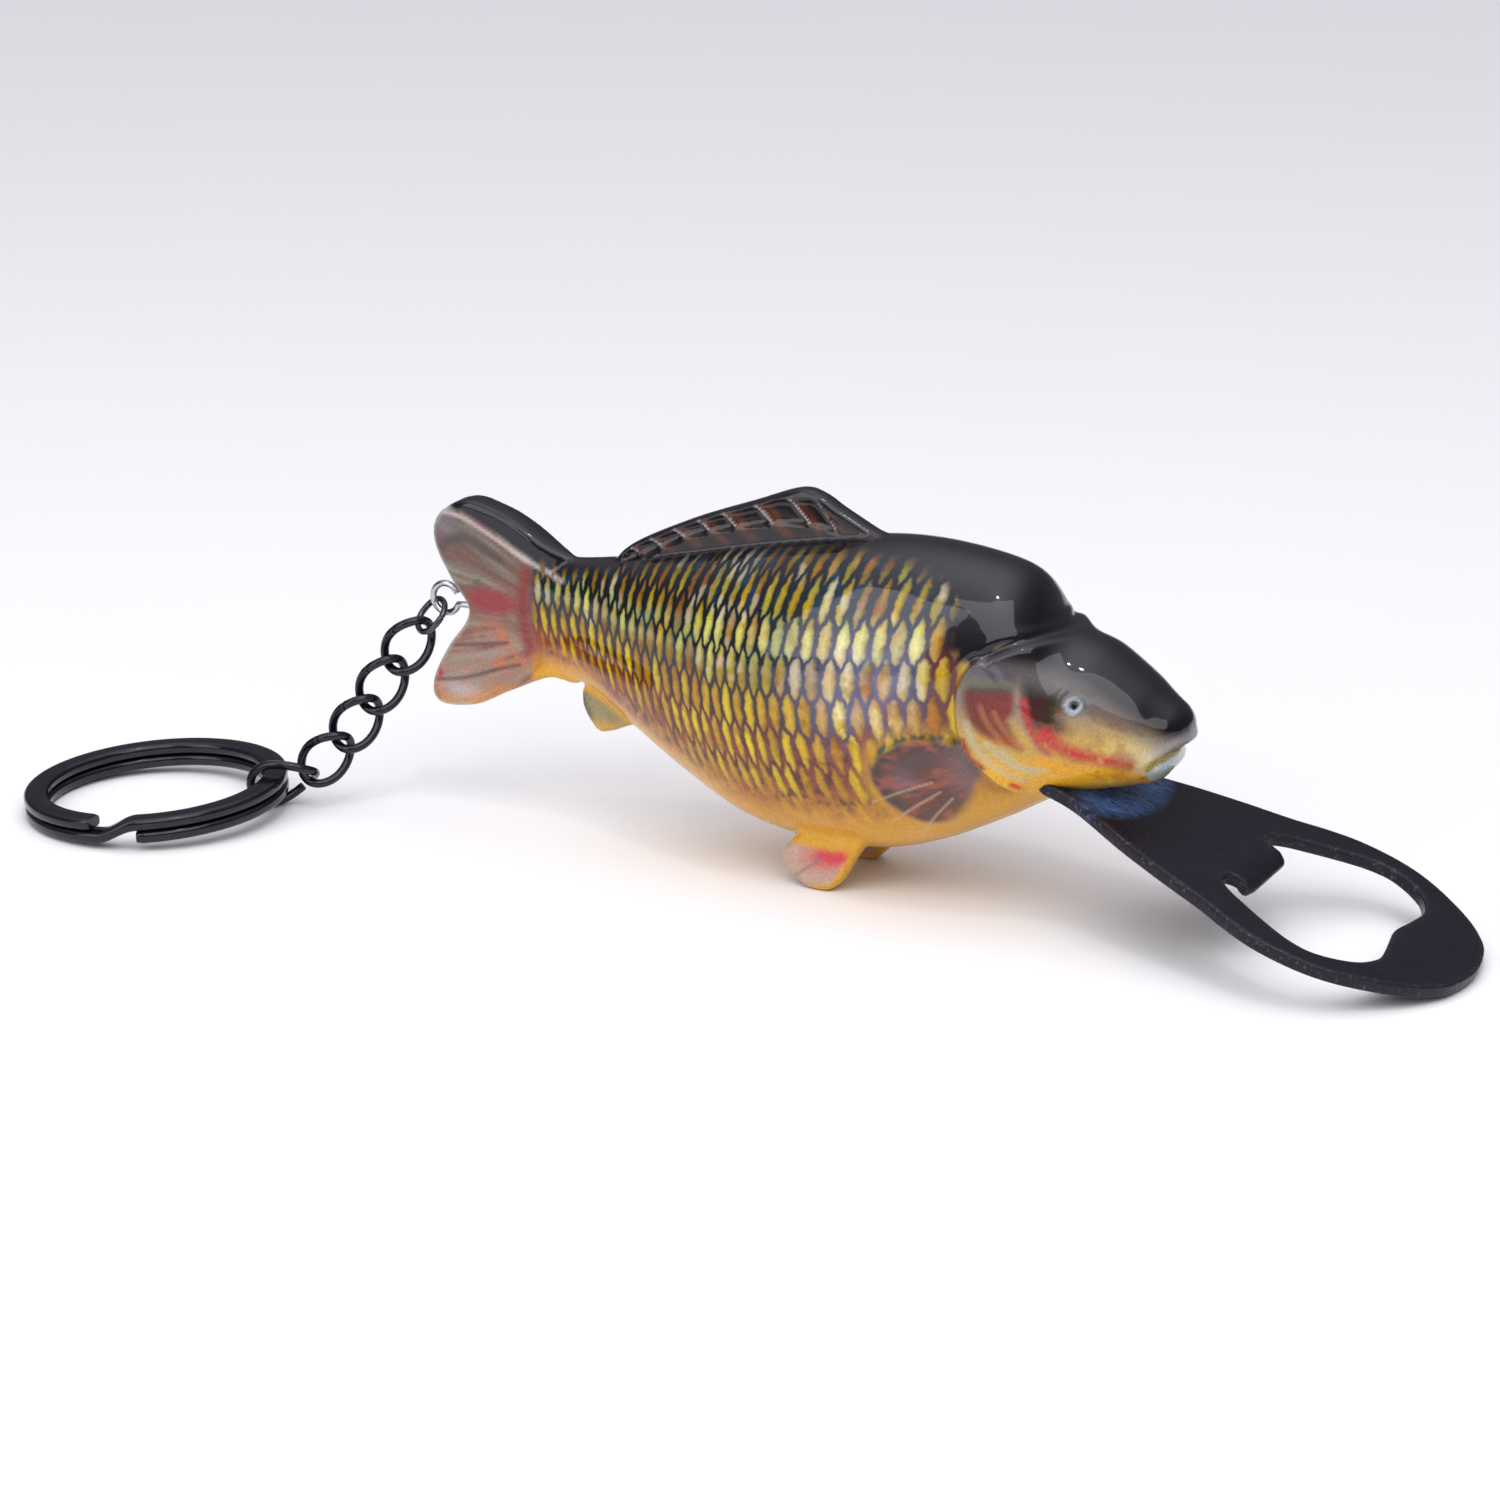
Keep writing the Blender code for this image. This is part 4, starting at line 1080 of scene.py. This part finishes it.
def bend_lip(u, v, w):
    """Lowers the toe of the lip along its bend."""
    past = u - BEND_START_U
    if abs(v) > LIP_HALF + 0.4 or past < 0 or past > 2.6:
        return u, v, w
    turn = min(past / BEND_RADIUS, LIP_BEND)
    straight = past - turn * BEND_RADIUS
    height = w + PLATE_THICK / 2
    u = BEND_START_U + (BEND_RADIUS + height) * math.sin(turn) + straight * math.cos(turn)
    w = (BEND_RADIUS + height) * math.cos(turn) - BEND_RADIUS - straight * math.sin(turn) - PLATE_THICK / 2
    return u, v, w


def mirrored(half):
    return [*half, *[(u, -v) for u, v in reversed(half[:-1])]]


def plate_loops():
    edge = [tuple(p) for p in smooth_curve(mirrored(PLATE_EDGE), 7)]
    tongue = [(TONGUE_START, TONGUE_HALF), (20.0, TONGUE_HALF), (25.2, TONGUE_HALF),
              (25.9, 4.9), (26.6, 5.5)]
    outer = [*tongue, *edge, *[(u, -v) for u, v in reversed(tongue)]]
    rim = [tuple(p) for p in smooth_curve(mirrored(HOLE_EDGE), 7)]
    toe = LIP_END_U + LIP_TOE
    lip = [(toe, 0.0), (toe, 2.0), (toe, LIP_HALF - 1.1), (toe - 0.10, LIP_HALF - 0.6),
           (toe - 0.35, LIP_HALF - 0.25), (toe - 0.8, LIP_HALF - 0.05),
           (LIP_END_U, LIP_HALF), (49.5, LIP_HALF + 0.05)]
    slot = [(49.1, LIP_HALF + 0.15), (48.78, LIP_HALF + 0.34), (48.56, LIP_HALF + 0.65),
            (HOLE_START_U, 6.3), (HOLE_START_U, 6.9), (48.62, 7.45)]
    side = [*lip, *slot]
    hole = [*side, *rim, *[(u, -v) for u, v in reversed(side[1:])]]
    return outer, hole


def inset(loop, amount):
    """Loop moved towards the metal by this amount."""
    pts = np.array(loop)
    ahead = np.roll(pts, -1, axis=0) - pts
    behind = pts - np.roll(pts, 1, axis=0)
    ahead /= np.maximum(np.linalg.norm(ahead, axis=1), 1e-9)[:, None]
    behind /= np.maximum(np.linalg.norm(behind, axis=1), 1e-9)[:, None]
    forward = ahead + behind
    forward /= np.maximum(np.linalg.norm(forward, axis=1), 1e-9)[:, None]
    normal = np.stack([-forward[:, 1], forward[:, 0]], 1)
    return pts + normal * amount


def make_plate(look):
    """Plate with rounded rims, built ring by ring round both of its edges."""
    outer, hole = plate_loops()
    made = bmesh.new()
    edge_layer = made.verts.layers.float.new("edge")
    # Inset from the edge, height above the top face and share of wear of each ring.
    levels = [(0.8, 0.0, 0.0), (0.5, 0.0, 0.35)]
    for k in range(4):
        turn = math.radians(30 * k)
        levels.append((EDGE_ROUND * (1 - math.sin(turn)), -EDGE_ROUND * (1 - math.cos(turn)), 1.0))
    levels += [(amount, -PLATE_THICK - w, worn) for amount, w, worn in reversed(levels)]
    first_rows = []
    last_rows = []
    for loop in (outer, hole):
        area = sum(a[0] * b[1] - a[1] * b[0] for a, b in zip(loop, loop[1:] + loop[:1]))
        inward = 1 if area > 0 else -1
        if loop is hole:
            inward = -inward
        rows = []
        for amount, w, worn in levels:
            row = []
            for u, v in inset(loop, inward * amount):
                vert = made.verts.new(plate_point(*bend_lip(u, v, w)))
                vert[edge_layer] = worn
                row.append(vert)
            rows.append(row)
        count = len(rows[0])
        for low, high in zip(rows, rows[1:]):
            for k in range(count):
                n = (k + 1) % count
                made.faces.new((low[k], low[n], high[n], high[k]))
        first_rows.append(rows[0])
        last_rows.append(rows[-1])
    for rows in (first_rows, last_rows):
        edges = []
        for row in rows:
            for a, b in zip(row, row[1:] + row[:1]):
                edges.append(made.edges.get((a, b)))
        bmesh.ops.triangle_fill(made, edges=edges, use_beauty=True)
    return finish_mesh(made, "stamped_plate", look, sharp=50)


# ---------------------------------------------------------------- chain and ring

CHAIN_HEADING = math.radians(-145.3)
CHAIN_START = Vector((-51.0, 0.0, 23.55))
GAP = 0.3
LINK_WIRE = 1.0
LINK_INNER = 5.75
LINK_WIDTH = 5.8
LINK_TWIST = math.radians(80)
EYE_WIRE = 0.75
EYE_CENTRE = Vector((-50.2, 0.0, 24.5))
EYE_RADIUS = 1.7
EYE_SHANK = (-47.9, -47.0, -44.0)
EYE_SHANK_Z = 24.0
JUMP_WIRE = 0.72
JUMP_RADIUS = 2.1
JUMP_ROLL = math.radians(72)
PITCH = LINK_INNER - GAP
CHAIN = (
    ("jump_ring", 2 * JUMP_RADIUS - JUMP_WIRE - GAP, 48),
    ("chain_link_1", PITCH, 53.5),
    ("chain_link_2", PITCH, 57.5),
    ("chain_link_3", PITCH, 53.5),
    ("chain_link_4", PITCH, 44.5),
)
END_LINK_DROP = math.radians(12.5)
END_LINK_INNER = 6.48
END_LINK_WIDTH = 6.65
END_LINK_ROLL = math.radians(-30)
END_LINK_TWIST = math.radians(60)
# Where each seam lies round its link and how wide it is, in degrees.
SEAM_GAP = 1.0
LINK_SEAM = 96
LINK_SEAM_SHIFT = 3
JUMP_SEAM = 245
JUMP_SEAM_GAP = 1.2
END_LINK_SEAM = 222
END_LINK_OPENING = 36
ALONG = Vector((math.cos(CHAIN_HEADING), math.sin(CHAIN_HEADING), 0))
ACROSS = ALONG.cross(Z_AXIS)


def chain_points():
    points = [CHAIN_START]
    for _, pitch, drop in CHAIN:
        angle = math.radians(drop)
        points.append(points[-1] + pitch * (math.cos(angle) * ALONG - math.sin(angle) * Z_AXIS))
    return points


def link_path(middle, axis, face, half_length, half_width, twist, seam, gap, steps=150):
    """Path of a cut link from one side of its seam round to the other, in degrees."""
    side = face.cross(axis)
    path = []
    for k in range(steps + 1):
        turn = math.radians(seam + gap / 2 + (360 - gap) * k / steps)
        c = math.cos(turn)
        s = math.sin(turn)
        x = half_length * math.copysign(abs(c) ** 0.95, c)
        y = half_width * math.copysign(abs(s) ** 0.9, s)
        roll = twist * 0.5 * x / half_length
        path.append(middle + axis * x + y * (math.cos(roll) * side + math.sin(roll) * face))
    return path


def make_chain(link_look, jump_look):
    points = chain_points()
    made = []
    for k, ((name, _, _), start, end) in enumerate(zip(CHAIN, points, points[1:])):
        middle = (start + end) / 2
        axis = (end - start).normalized()
        if name == "jump_ring":
            face = Matrix.Rotation(JUMP_ROLL, 3, axis) @ ACROSS
            path = link_path(middle, axis, face, JUMP_RADIUS, JUMP_RADIUS, 0.0, JUMP_SEAM,
                             JUMP_SEAM_GAP)
            item = finish_mesh(wire(path, JUMP_WIRE / 2), "wire_" + name, jump_look)
        else:
            half_length = (LINK_INNER + LINK_WIRE) / 2
            half_width = (LINK_WIDTH - LINK_WIRE) / 2
            path = link_path(middle, axis, ACROSS, half_length, half_width, LINK_TWIST,
                             LINK_SEAM + LINK_SEAM_SHIFT * k, SEAM_GAP)
            item = finish_mesh(wire(path, LINK_WIRE / 2), "wire_" + name, link_look)
        made.append((name, item))
    axis = math.cos(END_LINK_DROP) * ALONG - math.sin(END_LINK_DROP) * Z_AXIS
    middle = points[-1] + axis * (END_LINK_INNER - GAP) / 2
    face = Matrix.Rotation(END_LINK_ROLL, 3, axis) @ ACROSS
    half_length = (END_LINK_INNER + LINK_WIRE) / 2
    half_width = (END_LINK_WIDTH - LINK_WIRE) / 2
    path = link_path(middle, axis, face, half_length, half_width, END_LINK_TWIST,
                     END_LINK_SEAM, END_LINK_OPENING)
    made.append(("chain_link_5", finish_mesh(wire(path, LINK_WIRE / 2), "wire_chain_link_5", link_look)))
    return made


def make_screw_eye(look):
    path = []
    for k in range(61):
        turn = math.radians(-20 - 315 * (60 - k) / 60)
        path.append(EYE_CENTRE + EYE_RADIUS * Vector((math.cos(turn), 0, math.sin(turn))))
    for x in EYE_SHANK:
        path.append(Vector((x, 0, EYE_SHANK_Z)))
    return finish_mesh(wire(path, EYE_WIRE / 2), "wire_screw_eye", look)


RING_OUTER = 15.0
RING_BAND = 2.7
COIL_HEIGHT = 1.35
COIL_GAP = 0.12
RING_CENTRE = Vector((-78.89, -17.18, 0.0))
RING_LIFT = 1.73
RING_START = -63.0
RING_STEP = 19.0
COIL_ROUND = 0.52


def make_split_ring(look):
    """Two coils of flat wire with rounded corners and one step between the levels."""
    inner = RING_OUTER - RING_BAND
    section = []
    near = inner + COIL_ROUND
    far = RING_OUTER - COIL_ROUND
    top = COIL_HEIGHT - COIL_ROUND
    corners = ((far, COIL_ROUND, -90), (far, top, 0), (near, top, 90), (near, COIL_ROUND, 180))
    for r, z, start in corners:
        for k in range(5):
            turn = math.radians(start + 90 * k / 4)
            section.append((r + COIL_ROUND * math.cos(turn), z + COIL_ROUND * math.sin(turn)))
    rise = COIL_HEIGHT + COIL_GAP
    step_from = 360 - RING_STEP
    angles = [step_from * k / 150 for k in range(151)]
    angles += [step_from + RING_STEP * k / 20 for k in range(1, 20)]
    angles += [360 + (step_from - 2) * k / 150 for k in range(151)]
    last = angles[-1]
    rings = []
    for angle in angles:
        share = min(max((angle - step_from) / RING_STEP, 0), 1)
        level = rise * share * share * (3 - 2 * share)
        turn = math.radians(RING_START + angle)
        end = min(angle, last - angle)
        pinch = 0.12 * max(0.0, 1 - end / 0.6)
        ring = []
        for r, z in section:
            mid_r = (inner + RING_OUTER) / 2
            r = mid_r + (r - mid_r) * (1 - pinch)
            z = COIL_HEIGHT / 2 + (z - COIL_HEIGHT / 2) * (1 - pinch)
            ring.append(Vector((r * math.cos(turn), r * math.sin(turn), z + level)))
        rings.append(ring)
    made = loft(rings)
    start = chain_points()[-1]
    lift_dir = Vector((start.x - RING_CENTRE.x, start.y - RING_CENTRE.y, 0)).normalized()
    tilt = math.asin(RING_LIFT / (2 * RING_OUTER - RING_BAND / 2))
    turn = Matrix.Rotation(tilt, 3, lift_dir.cross(Z_AXIS))
    foot = RING_CENTRE - RING_OUTER * lift_dir
    centre = foot + turn @ (RING_OUTER * lift_dir)
    for vert in made.verts:
        vert.co = centre + turn @ vert.co
    return finish_mesh(made, "coiled_split_ring", look, sharp=50)


# ---------------------------------------------------------------- studio

CAMERA_TARGET = Vector((-11.5, 0.0, 12.23))
CAMERA_AZIMUTH = math.radians(27.52)
CAMERA_HEIGHT = math.radians(18.09)
CAMERA_DISTANCE = 400.0
CAMERA_LENS = 87.74
# The sky's strength is SKY_LOW at the horizon and grows with the fourth power of the height.
SKY_GAIN = 1.75
SKY_LOW = 0.12
SKY_COLOUR = (0.94, 0.93, 1.0, 1.0)
# name, place, aim, size, power, colour, in the model's metres
LIGHTS = (
    ("key_box", (0.26, -0.34, 0.46), (0.01, 0.0, 0.02), (0.62, 0.52), 1.9, (1.0, 1.0, 1.0)),
    ("front_box", (-0.33, -0.66, 0.42), (0.0, 0.0, 0.03), (0.46, 0.74), 2.3, (0.95, 0.94, 1.0)),
    ("small_lamp", (0.10, -0.12, 0.55), (0.0, 0.0, 0.02), (0.03, 0.03), 0.16, (1.0, 1.0, 1.0)),
)


def make_camera():
    back = Vector((math.sin(CAMERA_AZIMUTH) * math.cos(CAMERA_HEIGHT),
                   -math.cos(CAMERA_AZIMUTH) * math.cos(CAMERA_HEIGHT), math.sin(CAMERA_HEIGHT)))
    data = bpy.data.cameras.new("camera")
    data.lens = CAMERA_LENS
    data.sensor_width = 36
    data.clip_start = 0.01
    data.clip_end = 20
    camera = bpy.data.objects.new("camera", data)
    bpy.context.collection.objects.link(camera)
    camera.location = (CAMERA_TARGET + Vector(ORIGIN) + CAMERA_DISTANCE * back) * MM
    camera.rotation_euler = back.to_track_quat("Z", "Y").to_euler()
    bpy.context.scene.camera = camera


def area_light(name, place, aim, size, power, colour):
    data = bpy.data.lights.new(name, "AREA")
    data.shape = "RECTANGLE"
    data.size, data.size_y = size
    data.energy = power
    data.color = colour
    item = bpy.data.objects.new(name, data)
    bpy.context.collection.objects.link(item)
    item.location = place
    item.rotation_euler = (Vector(place) - Vector(aim)).to_track_quat("Z", "Y").to_euler()


def make_studio():
    n = Nodes(bpy.data.worlds.new("studio"))
    split = n.new("ShaderNodeSeparateXYZ")
    n.link(n.new("ShaderNodeTexCoord").outputs["Generated"], split.inputs[0])
    square = n.math("MULTIPLY", split.outputs[2], split.outputs[2])
    fourth = n.math("MULTIPLY", square, square)
    back = n.tree.nodes["Background"]
    back.inputs[0].default_value = SKY_COLOUR
    n.link(n.math("MULTIPLY_ADD", fourth, SKY_GAIN, SKY_LOW), back.inputs[1])
    bpy.context.scene.world = n.owner
    bpy.context.scene.view_settings.view_transform = "Standard"
    for light in LIGHTS:
        area_light(*light)
    n = Nodes(bpy.data.materials.new("pale_floor"))
    n.set(Base_Color=n.mix(n.noise(20, 2), tuple(srgb(250, 250, 250)), tuple(srgb(252, 252, 252))))
    n.set(Roughness=0.9)
    n.shader.inputs["Specular IOR Level"].default_value = 0.0
    made = bmesh.new()
    bmesh.ops.create_grid(made, x_segments=1, y_segments=1, size=3000.0)
    floor = finish_mesh(made, "floor", n.owner)
    floor.location.z = -0.00002


# ---------------------------------------------------------------- assembly

def settle(item, body, node):
    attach(item, body)
    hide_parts(node)


def main():
    make_camera()
    nickel = wire_material("black_nickel", (0.006, 0.006, 0.012), (0.02, 0.02, 0.03), 0.12, 0.12)
    gunmetal = wire_material("gunmetal", (0.085, 0.085, 0.092), (0.20, 0.20, 0.21), 0.22)
    bright = wire_material("bright_nickel", (0.52, 0.52, 0.53), (0.40, 0.40, 0.42), 0.20)
    ring_look = wire_material("ring_steel", (0.006, 0.005, 0.011), (0.02, 0.02, 0.03), 0.13, 0.12)
    settle(make_carp(carp_material()), "opener", "carp_body")
    settle(make_plate(plate_material()), "opener", "opener_plate")
    settle(make_screw_eye(bright), "opener", "screw_eye")
    for name, item in make_chain(nickel, gunmetal):
        settle(item, name, name)
    settle(make_split_ring(ring_look), "split_ring", "split_ring")
    make_studio()


main()
